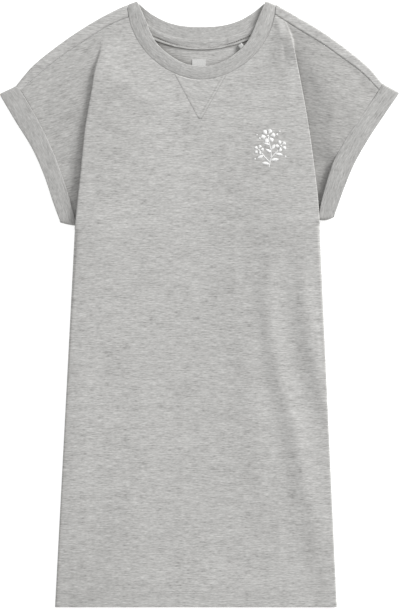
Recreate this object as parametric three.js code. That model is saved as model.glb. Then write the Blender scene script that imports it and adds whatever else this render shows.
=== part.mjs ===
// T-shirt dress in grey marl sweatshirt jersey, laid flat on its back.
// It has grown-on short sleeves with deep cuffs, a round neckband with a V stitched in below it,
// shoulder seams that lie forward of the edge, and a turned-up hem.
// Millimetres. +X is the viewer's right, +Y runs to the neck, +Z is up from the surface.
// The origin is on the surface, under the middle of the dress.

import * as THREE from "three";

// Cloth
const CLOTH = 1.2; // wall of the body jersey
const HALF = CLOTH / 2;
const DOUBLE = 2.4; // neckband and cuffs, folded double
const TRIM = 1.0; // tape, label, ribbon and V insert
const SEAM_GAP = 0.3; // left between pieces at every seam
const CUFF_GAP = 0.5; // and between a sleeve's front and the taller cuff
const CORNER_GAP = 0.9; // where three pieces meet at the cuff's top corner

// Heights of the middle of each wall over the surface
const BACK_Z = HALF;
const DOUBLE_BACK_Z = DOUBLE / 2;
const FLAT_Z = 2.5; // front panel where it lies quietly on the back
const CHEST = { z: 5.8, y: 120, ease: 280 }; // held up between the pleats, and how it comes down from there
const TOP_Z = 4.9; // front panel at the shoulder seams and the neckline
const HEM_Z = 4.3; // front panel at the hem, over two turned-up edges
const BAND_Z = 5.4; // front half of the neckband
const CUFF_Z = 5.0; // front half of a cuff at its top end
const CUFF_RISE_TO = 0.4; // share of a cuff's length in which its front comes up
const CUFF_EASE = { from: 0.72, keep: 0.45 }; // where it goes down again, and what is left at the underarm
const NECK_EASE = 55; // how far down the front eases from the neckline and the shoulders
const EDGE_EASE = 150; // how far in it eases from the pleats and the side edges
const RISE_EASE = 100; // how far below the neckline the pleats' height reaches the cloth between them
const SETTLE = 0.25; // share of the sleeve's length in which it comes down from the shoulder seam
const CROWN_FROM = 45; // a sleeve this wide stands at its full height
const SEAM_FALL = { from: 0.5, over: 0.2 }; // where along its seam a sleeve's edge falls below the cuff

// Length and hem
const HEM_Y = -400;
const HEM_DEPTH = 22; // turned up inside
const HEM_RAMP = 3;
const HEM_EXTRA = 1.0; // what the turned-up layer adds on the inside
const HEM_EASE = 45; // how far up the front eases down from the hem

// Neckline. The front seam of the neckband is a superellipse, the back one a flatter bow.
const NECK = { x: 1.9, topY: 392.0, halfWidth: 97.3, frontDrop: 95.7, frontPower: 1.87 };
const BACK_NECK = { seamDrop: 44.8, edgeTopY: 396, edgeHalfWidth: 82, edgeDrop: 30.1, power: 2.6 };
const BAND_END = 0.5; // how far below the neck points its plates end and its bends begin
const TAPE = { over: 2, halfWidth: 86, lowY: 335.7, bow: 0.00325, ledge: 0.8, slope: 6.5 };

// Pleat from the shoulder to the underarm: the body's edge lies over the sleeve. Each of its two
// bends turns by half a circle, with straight cloth tucked in between them.
const HIGH_BEND = { top: 2.8, bottom: 3.6 }; // cloth in the visible upper bend
const PLEAT_TUCK = 1; // straight cloth where the pleat begins

// Side edge: the front wraps round it, and the side seam lies underneath.
const SIDE_SEAM_IN = 9; // from the outline to the side seam
const SIDE_EDGE = { low: 4.6, fall: 90 }; // height of the wrapped edge, and how it falls from the underarm

// Columns and rows of the walls
const COUNT = {
  sleeve: 7, // across a sleeve's front
  bend: 5, // round a bend of the pleat or a side edge
  upper: 15, // down the front, shoulder to underarm
  lower: 12, // and on to the hem
  shoulder: 8, // along a shoulder
  corner: 4, // across the back from the cuff to the side seam
  flat: 5, // down the back below the underarm
  band: 22, // along each half of the neckband
  cuff: 10, // along each half of a cuff
  across: 3, // across a band or cuff
  round: 6, // round a folded edge
  tape: 16, // along the neck tape
  insert: 8, // across and down the V insert
};
const UPPER_POWER = 1.3; // how much closer the rows lie at the shoulders
const LOWER_POWER = 1.25; // and below the underarm
const FINE = 400; // steps for lines that are walked by their length
const EDGE_SLACK = 1e-6;

const table = (columns, rows) =>
  rows.map((row) => Object.fromEntries(columns.map((name, i) => [name, row[i]])));

// Every side table gives the distance out from the middle line and the height up the dress.
const SIDE_COLUMNS = ["leftOut", "leftY", "rightOut", "rightY"];

// The neckband's edge on the front, neck point to middle
const BAND_EDGE = table(["out", "y"], [
  [83.6, 396.8],
  [78.9, 387.0],
  [73.0, 372.6],
  [66.5, 356.9],
  [59.0, 344.0],
  [45.9, 331.2],
  [28.0, 319.7],
  [13.2, 314.7],
  [0, 313.6],
]);

// Top outline of the shoulders, cuff to neck
const SHOULDER_EDGE = table(SIDE_COLUMNS, [
  [243.4, 287.0, 241.0, 291.0],
  [220.4, 314.2, 220.4, 314.2],
  [180.8, 345.8, 180.8, 345.8],
  [149.2, 367.0, 149.2, 367.0],
  [121.4, 382.8, 121.4, 382.8],
  [96.8, 394.6, 100.4, 395.0],
]);

// Shoulder seam, cuff to neck
const SHOULDER_SEAM = table(SIDE_COLUMNS, [
  [236.6, 281.4, 235.9, 282.0],
  [213.4, 302.3, 213.7, 304.3],
  [179.1, 329.5, 186.0, 325.0],
  [150.7, 347.7, 161.0, 342.7],
  [122.8, 365.9, 132.8, 359.8],
  [94.9, 378.2, 99.2, 381.0],
]);

// Seam between sleeve and cuff, shoulder to underarm
const CUFF_SEAM = table(SIDE_COLUMNS, [
  [243.4, 287.0, 241.0, 291.0],
  [237.1, 282.0, 236.3, 283.1],
  [231.1, 272.7, 231.9, 275.9],
  [214.5, 243.7, 207.6, 241.6],
  [197.3, 209.2, 189.4, 213.3],
  [183.1, 172.9, 175.3, 187.0],
  [173.1, 142.6, 167.2, 162.8],
  [166.0, 118.0, 159.1, 132.4],
  [162.4, 103.0, 155.2, 111.0],
]);

// Folded outer edge of the cuff, shoulder to underarm
const CUFF_EDGE = table(SIDE_COLUMNS, [
  [264.8, 277.2, 263.2, 278.6],
  [243.8, 241.6, 242.0, 247.6],
  [221.5, 205.3, 221.8, 217.3],
  [205.4, 169.0, 203.5, 184.9],
  [193.2, 132.4, 191.2, 156.0],
  [184.0, 107.5, 176.4, 114.4],
]);

// Visible edge of the body over the sleeve, shoulder seam to underarm
const PLEAT_EDGE = table(SIDE_COLUMNS, [
  [126.7, 363.4, 112.2, 373.0],
  [132.7, 334.6, 120.6, 356.0],
  [138.6, 314.4, 125.8, 334.6],
  [142.7, 288.0, 132.8, 300.2],
  [147.8, 260.0, 139.9, 259.8],
  [151.8, 233.6, 146.0, 219.4],
  [157.9, 169.0, 151.0, 179.0],
  [161.0, 138.6, 155.1, 142.6],
  [165.0, 99.0, 157.6, 106.9],
]);

// Where the two sides differ: the hem's corner; where the pleat starts to turn and is fully turned,
// how far it tucks under at the underarm, and how far it has turned at the shoulder seam; how much
// the cuff's front comes up and how its lower corner rounds out; the height of the sleeve at the cuff,
// there near the underarm, and at the pleat; how high it stands between them and how fast it gets
// there; and the cloth in the pleat's hidden lower bend, at its two ends.
const SIDES = [
  {
    name: "left", sign: -1, hemOut: 191.4, turnsFrom: 0.03, turnedAt: 0.36, tuck: 20, start: 0,
    cuffRise: 0, bulge: 0.6, seamZ: 2.4, seamLow: 2.4, foldZ: 4.6, crown: -1.8, ramp: 30,
    lowBend: [1.8, 7.5],
  },
  {
    name: "right", sign: 1, hemOut: 180.8, turnsFrom: 0, turnedAt: 0.2, tuck: 20, start: 0.06,
    cuffRise: 3.2, bulge: 2.4, seamZ: 8.3, seamLow: 2.4, foldZ: 1.95, crown: 8.4, ramp: 30,
    lowBend: [3.4, 11.0],
  },
];

// Soft ridges down the front: the places each runs through, its width to half height and its height.
const RIDGE_FADE = 0.34; // share of its length in which a ridge rises and fades
const RIDGE_STEPS = 24;
const RIDGES = [
  { path: [[136, 92], [139, -8], [155, -87], [173, -170], [178, -215]], width: 11, height: 2.0 },
  { path: [[96, 110], [90, 0], [103, -87], [125, -166], [139, -246], [166, -338]], width: 12, height: 2.2 },
  { path: [[52, 60], [62, -80], [76, -190], [96, -330]], width: 16, height: 1.1 },
  { path: [[-148, 10], [-160, -150], [-172, -330]], width: 14, height: 1.0 },
  { path: [[-64, -60], [-80, -210], [-98, -360]], width: 20, height: 0.7 },
].map((ridge) => {
  const points = ridge.path.map(([x, y]) => new THREE.Vector3(x, y, 0));
  const curve = new THREE.CatmullRomCurve3(points, false, "centripetal");
  return { ...ridge, line: curve.getSpacedPoints(RIDGE_STEPS) };
});

// Small pieces at the neck
const V_INSERT = { leftX: -34, rightX: 35.3, tipX: 0.3, tipY: 244.5, tipWidth: 5, below: 0.9 };
const LABEL = { x: -1.6, y: 315, width: 17.8, height: 16 };
const LOOP = { x: 52.2, y: 342.6, angle: 53, width: 6.5, length: 20, bend: 0.7 };

const lerp = THREE.MathUtils.lerp;
const smooth = (t) => THREE.MathUtils.smoothstep(t, 0, 1);
const steps = (n) => Array.from({ length: n + 1 }, (_, i) => i / n);

// A plan curve through the points of a table, walked by its length. x holds the distance out.
function sideCurve(rows, side) {
  const points = rows.map((r) => new THREE.Vector3(r[side.name + "Out"], r[side.name + "Y"], 0));
  const curve = new THREE.CatmullRomCurve3(points, false, "centripetal");
  curve.arcLengthDivisions = FINE;
  return (t) => curve.getPointAt(THREE.MathUtils.clamp(t, 0, 1));
}

// A side's plan curve as a line of points, evenly spread.
const sideLine = (rows, side, count) => steps(count).map(sideCurve(rows, side));

// The front neckline at an angle: 0 at the right neck point, half a turn at the left one.
function frontNeck(angle) {
  const power = 2 / NECK.frontPower;
  const across = Math.sign(Math.cos(angle)) * Math.abs(Math.cos(angle)) ** power;
  const y = NECK.topY - NECK.frontDrop * Math.sin(angle) ** power;
  return new THREE.Vector3(NECK.x + NECK.halfWidth * across, y, 0);
}

// Its angle at a height, near the right neck point.
function frontNeckAngle(y) {
  return Math.asin(((NECK.topY - y) / NECK.frontDrop) ** (NECK.frontPower / 2));
}

// How far a point of the front lies below the neckline, as a rough distance.
function belowNeck(x, y) {
  const across = Math.abs(x - NECK.x) / NECK.halfWidth;
  const down = Math.max(0, NECK.topY - y) / NECK.frontDrop;
  const power = NECK.frontPower;
  return ((across ** power + down ** power) ** (1 / power) - 1) * NECK.frontDrop;
}

const backSeamY = (x) =>
  NECK.topY - BACK_NECK.seamDrop * (1 - Math.abs((x - NECK.x) / NECK.halfWidth) ** BACK_NECK.power);

// The neckband's outer seam on the front, left to right. Its first and last stretch lie along the
// back panel's folded shoulders, the others along the front panel.
function bandFrontSeam() {
  const end = frontNeckAngle(NECK.topY - BAND_END);
  const last = SHOULDER_SEAM[SHOULDER_SEAM.length - 1];
  const from = Math.PI - frontNeckAngle(last.leftY);
  const to = frontNeckAngle(last.rightY);
  const fine = steps(FINE).map((t) => frontNeck(lerp(from, to, t)));
  return [frontNeck(Math.PI - end), ...atShares(fine, steps(COUNT.band - 2)), frontNeck(end)];
}

// The neckband's outer seam on the back, left to right.
function bandBackSeam() {
  const fine = steps(FINE).map((t) => {
    const x = NECK.x - NECK.halfWidth * Math.cos(Math.PI * t);
    return new THREE.Vector3(x, Math.min(backSeamY(x), NECK.topY - BAND_END), 0);
  });
  return atShares(fine, steps(COUNT.band));
}

const backEdgeY = (x) =>
  BACK_NECK.edgeTopY -
  BACK_NECK.edgeDrop * (1 - Math.abs((x - NECK.x) / BACK_NECK.edgeHalfWidth) ** BACK_NECK.power);

// How far along a line of points each one is, as a share of its length.
function sharesOf(line) {
  const far = [0];
  for (let i = 1; i < line.length; i++) far.push(far[i - 1] + line[i].distanceTo(line[i - 1]));
  return far.map((d) => d / far[far.length - 1]);
}

// Points at given shares of a line's length.
function atShares(line, shares) {
  const have = sharesOf(line);
  return shares.map((want) => {
    let i = 1;
    while (i < have.length - 1 && have[i] < want) i++;
    return line[i - 1].clone().lerp(line[i], (want - have[i - 1]) / (have[i] - have[i - 1]));
  });
}

// The direction of a line of points at one of them.
function headingAt(line, i) {
  const from = line[Math.max(i - 1, 0)];
  const to = line[Math.min(i + 1, line.length - 1)];
  return to.clone().sub(from).setZ(0).normalize();
}

// A line of points moved to its right by a distance, in plan.
const shifted = (line, distance) =>
  line.map((p, i) => {
    const way = headingAt(line, i);
    return new THREE.Vector3(p.x + way.y * distance, p.y - way.x * distance, p.z);
  });

// The rows of a patch between four lines of points. top and bottom run across, left and right down.
function fill(top, bottom, left, right, shares) {
  const last = top.length - 1;
  return shares.map((v, i) =>
    top.map((p, j) => {
      const u = j / last;
      const point = p.clone().multiplyScalar(1 - v).addScaledVector(bottom[j], v);
      point.addScaledVector(left[i], 1 - u).addScaledVector(right[i], u);
      point.addScaledVector(top[0], -(1 - u) * (1 - v)).addScaledVector(top[last], -u * (1 - v));
      return point.addScaledVector(bottom[0], -(1 - u) * v).addScaledVector(bottom[last], -u * v);
    }),
  );
}

// A panel's wall, thicker on its inside over the two rows of the hem.
const panel = (rows) =>
  wall(rows, (i) => [HALF, HALF + (i >= rows.length - 2 ? HEM_EXTRA : 0)]);

// A closed wall round a grid of middle points. A point that is null leaves its cells out.
// thickness(row, column) gives the outer and the inner half. round joins the last column to the first.
function wall(rows, thickness, round = false) {
  const high = rows.length;
  const wide = rows[0].length;
  const last = round ? wide : wide - 1;
  const at = (i, j) => i * wide + (j % wide);
  const cells = [];
  for (let i = 0; i + 1 < high; i++) {
    for (let j = 0; j < last; j++) {
      const corners = [[i, j], [i + 1, j], [i + 1, (j + 1) % wide], [i, (j + 1) % wide]];
      if (corners.every(([a, b]) => rows[a][b])) cells.push(corners);
    }
  }
  const normals = new Map();
  for (const corners of cells) {
    const [a, b, c, d] = corners.map(([i, j]) => rows[i][j]);
    const normal = c.clone().sub(a).cross(d.clone().sub(b));
    for (const [i, j] of corners) {
      if (!normals.has(at(i, j))) normals.set(at(i, j), new THREE.Vector3());
      normals.get(at(i, j)).add(normal);
    }
  }
  const positions = [];
  const outer = new Map();
  const inner = new Map();
  for (const [key, normal] of normals) {
    normal.normalize();
    const i = Math.floor(key / wide);
    const j = key % wide;
    const [out, into] = thickness(i, j);
    outer.set(key, positions.length / 3);
    positions.push(...rows[i][j].clone().addScaledVector(normal, out).toArray());
    inner.set(key, positions.length / 3);
    positions.push(...rows[i][j].clone().addScaledVector(normal, -into).toArray());
  }
  const triangles = [];
  const edges = new Map();
  for (const corners of cells) {
    const keys = corners.map(([i, j]) => at(i, j));
    const [a, b, c, d] = keys.map((k) => outer.get(k));
    const [e, f, g, h] = keys.map((k) => inner.get(k));
    triangles.push(a, b, c, a, c, d, e, g, f, e, h, g);
    for (let k = 0; k < 4; k++) {
      const from = keys[k];
      const to = keys[(k + 1) % 4];
      const back = `${to} ${from}`;
      if (edges.has(back)) edges.delete(back);
      else edges.set(`${from} ${to}`, [from, to]);
    }
  }
  for (const [from, to] of edges.values()) {
    const [a, b] = [outer.get(from), outer.get(to)];
    const [c, d] = [inner.get(from), inner.get(to)];
    triangles.push(a, c, b, b, c, d);
  }
  const geometry = new THREE.BufferGeometry();
  geometry.setAttribute("position", new THREE.Float32BufferAttribute(positions, 3));
  geometry.setIndex(triangles);
  geometry.computeVertexNormals();
  return geometry;
}

// The path of the pleat at one height: from the sleeve, up and over, to the body's start.
// inward counts from the visible edge to the middle of the dress.
function pleatPath(side, v) {
  const turn = lerp(side.start, 1, smooth((v - side.turnsFrom) / (side.turnedAt - side.turnsFrom)));
  const tucked = Math.max(0, v - side.turnedAt) / (1 - side.turnedAt);
  const tuck = lerp(PLEAT_TUCK, side.tuck, tucked);
  const low = lerp(...side.lowBend, v) / COUNT.bend;
  const high = lerp(HIGH_BEND.top, HIGH_BEND.bottom, v) / COUNT.bend;
  const shares = steps(COUNT.bend).slice(1).map((t) => t - 0.5 / COUNT.bend);
  const cloth = [
    ...shares.map((share) => [low, share]),
    [tuck / 2, 1],
    [tuck / 2, 1],
    ...shares.reverse().map((share) => [high, share]),
  ];
  const path = [{ inward: 0, up: 0 }];
  for (const [length, share] of cloth) {
    const from = path[path.length - 1];
    path.push({
      inward: from.inward + length * Math.cos(Math.PI * turn * share),
      up: from.up + length * Math.sin(Math.PI * turn * share),
    });
  }
  const edge = Math.min(...path.slice(COUNT.bend + 1).map((p) => p.inward));
  return path.map((p) => ({ inward: p.inward - edge + HALF * turn, up: p.up }));
}

// The shoulder seams as both panels meet there, and their height at a distance out.
const shoulderSeams = Object.fromEntries(
  SIDES.map((side) => [side.name, sideLine(SHOULDER_SEAM, side, COUNT.shoulder)]));

function seamY(side, out) {
  const line = shoulderSeams[side];
  let i = 1;
  while (i < line.length - 1 && line[i].x > out) i++;
  return lerp(line[i - 1].y, line[i].y, (line[i - 1].x - out) / (line[i - 1].x - line[i].x));
}

// Height of the front away from its edges, as it lies.
function bodyZ(x, y) {
  const shoulder = smooth((seamY(x < NECK.x ? "left" : "right", Math.abs(x)) - y) / NECK_EASE);
  const hem = smooth((HEM_Y + HEM_DEPTH + HEM_EASE - y) / HEM_EASE);
  const flat = lerp(CHEST.z, FLAT_Z, smooth((CHEST.y - y) / CHEST.ease));
  let z = lerp(TOP_Z, flat, shoulder * smooth(belowNeck(x, y) / NECK_EASE));
  z += (HEM_Z - FLAT_Z) * hem;
  for (const ridge of RIDGES) {
    const apart = ridge.line.map((p) => Math.hypot(p.x - x, p.y - y));
    const near = Math.min(...apart);
    const along = apart.indexOf(near) / RIDGE_STEPS;
    const ends = smooth(Math.min(along, 1 - along) / RIDGE_FADE);
    z += ridge.height * ends * Math.exp(-((near / ridge.width) ** 2) * Math.LN2);
  }
  return z;
}

const toPlan = (side, out, y, z) => new THREE.Vector3(side.sign * out, y, z);
const upperShares = () => steps(COUNT.upper).map((t) => t ** UPPER_POWER);

// Height of a cuff's front plate, from its top end to the underarm.
function cuffHeight(side, share) {
  const down = smooth((share - CUFF_EASE.from) / (1 - CUFF_EASE.from));
  return CUFF_Z + side.cuffRise * smooth(share / CUFF_RISE_TO) * lerp(1, CUFF_EASE.keep, down);
}

// The seam between sleeve and cuff as both meet there: the cuff's plates between their two bends,
// and the ends that the bends reach.
function cuffLine(rows, side) {
  const fine = sideLine(rows, side, FINE);
  const length = fine.slice(1).reduce((sum, p, i) => sum + p.distanceTo(fine[i]), 0);
  const [first, last] = [0, 1].map((end) =>
    ((cuffHeight(side, end) - DOUBLE_BACK_Z) / 2 + DOUBLE / 2) / length);
  return atShares(fine, [0, ...steps(COUNT.cuff).map((t) => lerp(first, 1 - last, t)), 1]);
}

// The sleeve, the pleat and the start of the body on one side, for every row of the upper front.
function frontSide(side) {
  const shares = upperShares();
  const edge = sideCurve(PLEAT_EDGE, side);
  const pleats = shares.map((v) => {
    const at = edge(v);
    return pleatPath(side, v).map((p) => {
      const out = at.x - p.inward;
      const slant = (seamY(side.name, out) - edge(0).y) * (1 - v) ** 2;
      return { out, y: at.y + slant - (v === 0 ? SEAM_GAP : 0), up: p.up };
    });
  });
  const start = SHOULDER_SEAM[0][side.name + "Out"] - CORNER_GAP;
  const clear = shifted(cuffLine(CUFF_SEAM, side), CUFF_GAP).filter((p) => p.x < start);
  const corner = new THREE.Vector3(start, seamY(side.name, start) - SEAM_GAP, 0);
  const left = atShares([corner, ...clear], shares);
  const right = pleats.map((row) => new THREE.Vector3(row[0].out, row[0].y, 0));
  const last = shares.length - 1;
  const top = steps(COUNT.sleeve).map((u) => {
    const out = lerp(left[0].x, right[0].x, u);
    return new THREE.Vector3(out, seamY(side.name, out) - SEAM_GAP, 0);
  });
  const bottom = steps(COUNT.sleeve).map((u) => left[last].clone().lerp(right[last], u));
  return fill(top, bottom, left, right, shares).map((row, i) => {
    const settle = smooth(shares[i] / SETTLE);
    const width = left[i].x - right[i].x;
    const full = side.crown * smooth(width / CROWN_FROM);
    const seamZ = lerp(side.seamZ, side.seamLow, smooth((shares[i] - SEAM_FALL.from) / SEAM_FALL.over));
    const sleeve = row.slice(0, -1).map((p, j) => {
      const u = j / COUNT.sleeve;
      const high = side.foldZ + full * (1 - Math.exp((-(1 - u) * width) / side.ramp));
      const z = lerp(seamZ, high, smooth((u * width) / CROWN_FROM));
      return toPlan(side, p.x, p.y, lerp(TOP_Z, z, settle));
    });
    const base = lerp(TOP_Z, side.foldZ, settle);
    return [...sleeve, ...pleats[i].map((p) => toPlan(side, p.out, p.y, base + p.up))];
  });
}

// The outline of the body below the underarm, at a share of its length.
function outlineAt(side, w) {
  const top = PLEAT_EDGE[PLEAT_EDGE.length - 1];
  const from = new THREE.Vector3(top[side.name + "Out"], top[side.name + "Y"], 0);
  return from.lerp(new THREE.Vector3(side.hemOut, HEM_Y, 0), w);
}

// Shares of that length for the rows of a panel, with rows kept for the hem.
function lowerShares(count, power) {
  const length = outlineAt(SIDES[0], 0).y - HEM_Y;
  const hem = 1 - (HEM_DEPTH + HEM_RAMP) / length;
  return [...steps(count).slice(1).map((t) => hem * t ** power), 1 - HEM_DEPTH / length, 1];
}

// The wrapped edge on one side, for every row below the underarm, from the side seam up.
function frontEdge(side) {
  const length = outlineAt(side, 0).y - HEM_Y;
  const underarm = side.foldZ + ((side.lowBend[1] + HIGH_BEND.bottom) * 2) / Math.PI;
  return lowerShares(COUNT.lower, LOWER_POWER).map((w, i) => {
    const at = outlineAt(side, w);
    const top = lerp(SIDE_EDGE.low, underarm, Math.exp((-w * length) / SIDE_EDGE.fall));
    const radius = (top - BACK_Z) / 2;
    const arc = steps(COUNT.bend).map((t) => {
      const angle = Math.PI * (1 - t);
      const out = at.x - HALF - radius + radius * Math.sin(angle);
      return toPlan(side, out, at.y, BACK_Z + radius * (1 + Math.cos(angle)));
    });
    const seamZ = i === 0 ? BACK_Z + CLOTH + SEAM_GAP : BACK_Z; // over the back's corner at first
    return [toPlan(side, at.x - SIDE_SEAM_IN, at.y, seamZ), ...arc];
  });
}

// Lays the points of a row between the two pleats or side edges at their heights.
function layBody(row) {
  const [from, to] = [row[0], row[row.length - 1]];
  const [rise, riseTo] = [from, to].map((p) => p.z - bodyZ(p.x, p.y));
  return row.slice(1, -1).map((p) => {
    const left = rise * (1 - smooth((p.x - from.x) / EDGE_EASE));
    const right = riseTo * (1 - smooth((to.x - p.x) / EDGE_EASE));
    const free = smooth(belowNeck(p.x, p.y) / RISE_EASE);
    return new THREE.Vector3(p.x, p.y, bodyZ(p.x, p.y) + (left + right) * free);
  });
}

// The rows of the front panel's middle surface.
function frontGrid() {
  const [left, right] = SIDES.map(frontSide);
  const [leftStart, rightStart] = [left, right].map((rows) => rows.map((row) => row[row.length - 1]));
  const neckLine = shifted(bandFrontSeam(), SEAM_GAP).slice(1, -1);
  const ends = [neckLine[0], neckLine[neckLine.length - 1]];
  for (const end of ends) end.y -= SEAM_GAP;
  const seamPart = (side, start, end, count) =>
    steps(count).slice(0, -1).map((t) => {
      const out = lerp(Math.abs(start.x), Math.abs(end.x), t);
      return new THREE.Vector3(side.sign * out, seamY(side.name, out) - SEAM_GAP, 0);
    });
  const top = [
    ...seamPart(SIDES[0], leftStart[0], ends[0], 2),
    ...neckLine,
    ...seamPart(SIDES[1], rightStart[0], ends[1], 2).reverse(),
  ];
  const across = (from, to) => top.map((p, j) => from.clone().lerp(to, j / (top.length - 1)));
  const last = COUNT.upper;
  const plan = fill(top, across(leftStart[last], rightStart[last]), leftStart, rightStart, upperShares());
  const rows = plan.map((row, i) => {
    const body = layBody([leftStart[i], ...row.slice(1, -1), rightStart[i]]);
    return [...left[i], ...body, ...right[i].slice().reverse()];
  });
  const none = Array(COUNT.sleeve + COUNT.bend + 1).fill(null); // columns that end at the underarm
  const [leftEdge, rightEdge] = SIDES.map(frontEdge);
  leftEdge.forEach((edge, i) => {
    const [from, to] = [edge[edge.length - 1], rightEdge[i][rightEdge[i].length - 1]];
    rows.push([...none, ...edge, ...layBody(across(from, to)), ...rightEdge[i].slice().reverse(), ...none]);
  });
  return rows;
}

// The columns of one folded shoulder of the back panel, from the forward seam over to the flat.
function backShoulder(side) {
  const edge = sideLine(SHOULDER_EDGE, side, COUNT.shoulder);
  const radius = (TOP_Z - BACK_Z) / 2;
  return shoulderSeams[side.name].map((seam, i) => {
    const into = seam.clone().sub(edge[i]);
    const depth = into.length();
    into.normalize();
    const slide = i === 0 ? CORNER_GAP : 0;
    const place = (inward, z) =>
      toPlan(side, edge[i].x + into.x * inward - slide, edge[i].y + into.y * inward + slide, z);
    const bend = steps(COUNT.round).map((s) => {
      const inward = HALF + radius * (1 - Math.sin(Math.PI * s));
      return place(inward, BACK_Z + radius * (1 + Math.cos(Math.PI * s)));
    });
    return [place(depth, TOP_Z), ...bend];
  });
}

// The rows of the back panel's middle surface: flat, with its shoulders folded over to the front.
function backGrid() {
  const skip = COUNT.corner; // columns on each side that end at the underarm
  const inset = SIDE_SEAM_IN + SEAM_GAP;
  const shoulders = SIDES.map(backShoulder);
  const neckLine = shifted(bandBackSeam(), SEAM_GAP).map((p) => p.setZ(BACK_Z));
  const wrapRows = shoulders[0][0].length;
  const rows = steps(wrapRows - 1).map((t, i) => [
    ...shoulders[0].map((line) => line[i]),
    ...neckLine.map((p) => (i === wrapRows - 1 ? p : null)),
    ...shoulders[1].map((line) => line[i]).reverse(),
  ]);
  const top = rows[rows.length - 1];
  const last = top.length - 1;
  const [left, right] = SIDES.map((side, k) => {
    const line = shifted(cuffLine(CUFF_SEAM, side), SEAM_GAP).slice(2);
    return [top[k * last], ...line.map((p) => toPlan(side, p.x, p.y, BACK_Z))];
  });
  const across = (w) => {
    const [a, b] = SIDES.map((side) => outlineAt(side, w));
    return top.map((p, j) => {
      const share = (j - skip) / (last - 2 * skip);
      return new THREE.Vector3(lerp(inset - a.x, b.x - inset, share), lerp(a.y, b.y, share), BACK_Z);
    });
  };
  const tails = [left, right].map((line) => line[line.length - 1]);
  const bottom = across(0).map((p, j, line) => {
    if (j < skip) return tails[0].clone().lerp(line[skip], j / skip);
    if (j > last - skip) return tails[1].clone().lerp(line[last - skip], (last - j) / skip);
    return p;
  });
  rows.push(...fill(top, bottom, left, right, steps(left.length - 1)).slice(1));
  for (const w of lowerShares(COUNT.flat, 1)) {
    rows.push(across(w).map((p, j) => (j < skip || j > last - skip ? null : p)));
  }
  return rows.map((row) => row.reverse());
}

// A flattened ring of double cloth: a front and a back plate, joined by a rounded bend at each end.
// Each plate lies between an outer and an inner line of points. frontZ gives the front's height at a
// share of its length, and bulge rounds out its second end.
function flatRing(front, back, frontZ, backZ, bulge = 0) {
  const bend = (from, to, way) => {
    const radius = Math.abs(from.z - to.z) / 2;
    return steps(COUNT.round).slice(1, -1).map((t) => {
      const point = from.clone().lerp(to, (1 - Math.cos(Math.PI * t)) / 2);
      return point.addScaledVector(way, radius * Math.sin(Math.PI * t));
    });
  };
  const shares = sharesOf(front.outer);
  const rows = steps(COUNT.across).map((s) => {
    const over = front.outer.map((p, i) => p.clone().lerp(front.inner[i], s).setZ(frontZ(shares[i])));
    const under = back.outer.map((p, i) => p.clone().lerp(back.inner[i], s).setZ(backZ)).reverse();
    const last = over.length - 1;
    const [start, end] = [headingAt(over, 0).negate(), headingAt(over, last)];
    const push = end.clone().multiplyScalar(bulge * Math.sin(Math.PI * s));
    over[last].add(push);
    under[0].add(push);
    return [...over, ...bend(over[last], under[0], end), ...under, ...bend(under[last], over[0], start)];
  });
  return wall(rows, () => [DOUBLE / 2, DOUBLE / 2], true);
}

function neckband() {
  const half = BAND_EDGE.map(({ out, y }) => new THREE.Vector3(out, y, 0));
  const points = [
    ...half.map((p) => new THREE.Vector3(NECK.x - p.x, p.y, 0)),
    ...half.slice(0, -1).reverse().map((p) => new THREE.Vector3(NECK.x + p.x, p.y, 0)),
  ];
  const frontEdgeLine = new THREE.CatmullRomCurve3(points, false, "centripetal").getPoints(FINE);
  const backEdgeLine = steps(FINE).map((t) => {
    const x = NECK.x - half[0].x * Math.cos(Math.PI * t);
    return new THREE.Vector3(x, backEdgeY(x), 0);
  });
  const [frontSeam, backSeam] = [bandFrontSeam(), bandBackSeam()];
  const over = { outer: frontSeam, inner: atShares(frontEdgeLine, sharesOf(frontSeam)) };
  const under = { outer: backSeam, inner: atShares(backEdgeLine, sharesOf(backSeam)) };
  return flatRing(over, under, () => BAND_Z, DOUBLE_BACK_Z);
}

function cuff(side) {
  const line = (rows) => cuffLine(rows, side).slice(1, -1).map((p) => toPlan(side, p.x, p.y, 0));
  const plate = { outer: line(CUFF_EDGE), inner: line(CUFF_SEAM) };
  return flatRing(plate, plate, (share) => cuffHeight(side, share), DOUBLE_BACK_Z, side.bulge);
}

// The height of a grid of points at a place in plan, on the two triangles of the cell it is in.
function heightOn(rows, x, y) {
  const place = new THREE.Vector3(x, y, 0);
  for (let i = 0; i + 1 < rows.length; i++) {
    for (let j = 0; j + 1 < rows[i].length; j++) {
      const cell = [rows[i][j], rows[i + 1][j], rows[i + 1][j + 1], rows[i][j + 1]];
      if (!cell.every(Boolean)) continue;
      for (const [a, b, c] of [[cell[0], cell[1], cell[2]], [cell[0], cell[2], cell[3]]]) {
        const flat = [a, b, c].map((p) => p.clone().setZ(0));
        const share = THREE.Triangle.getBarycoord(place, ...flat, new THREE.Vector3());
        if (!share || Math.min(share.x, share.y, share.z) < -EDGE_SLACK) continue;
        return a.z * share.x + b.z * share.y + c.z * share.z;
      }
    }
  }
  return FLAT_Z;
}

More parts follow.
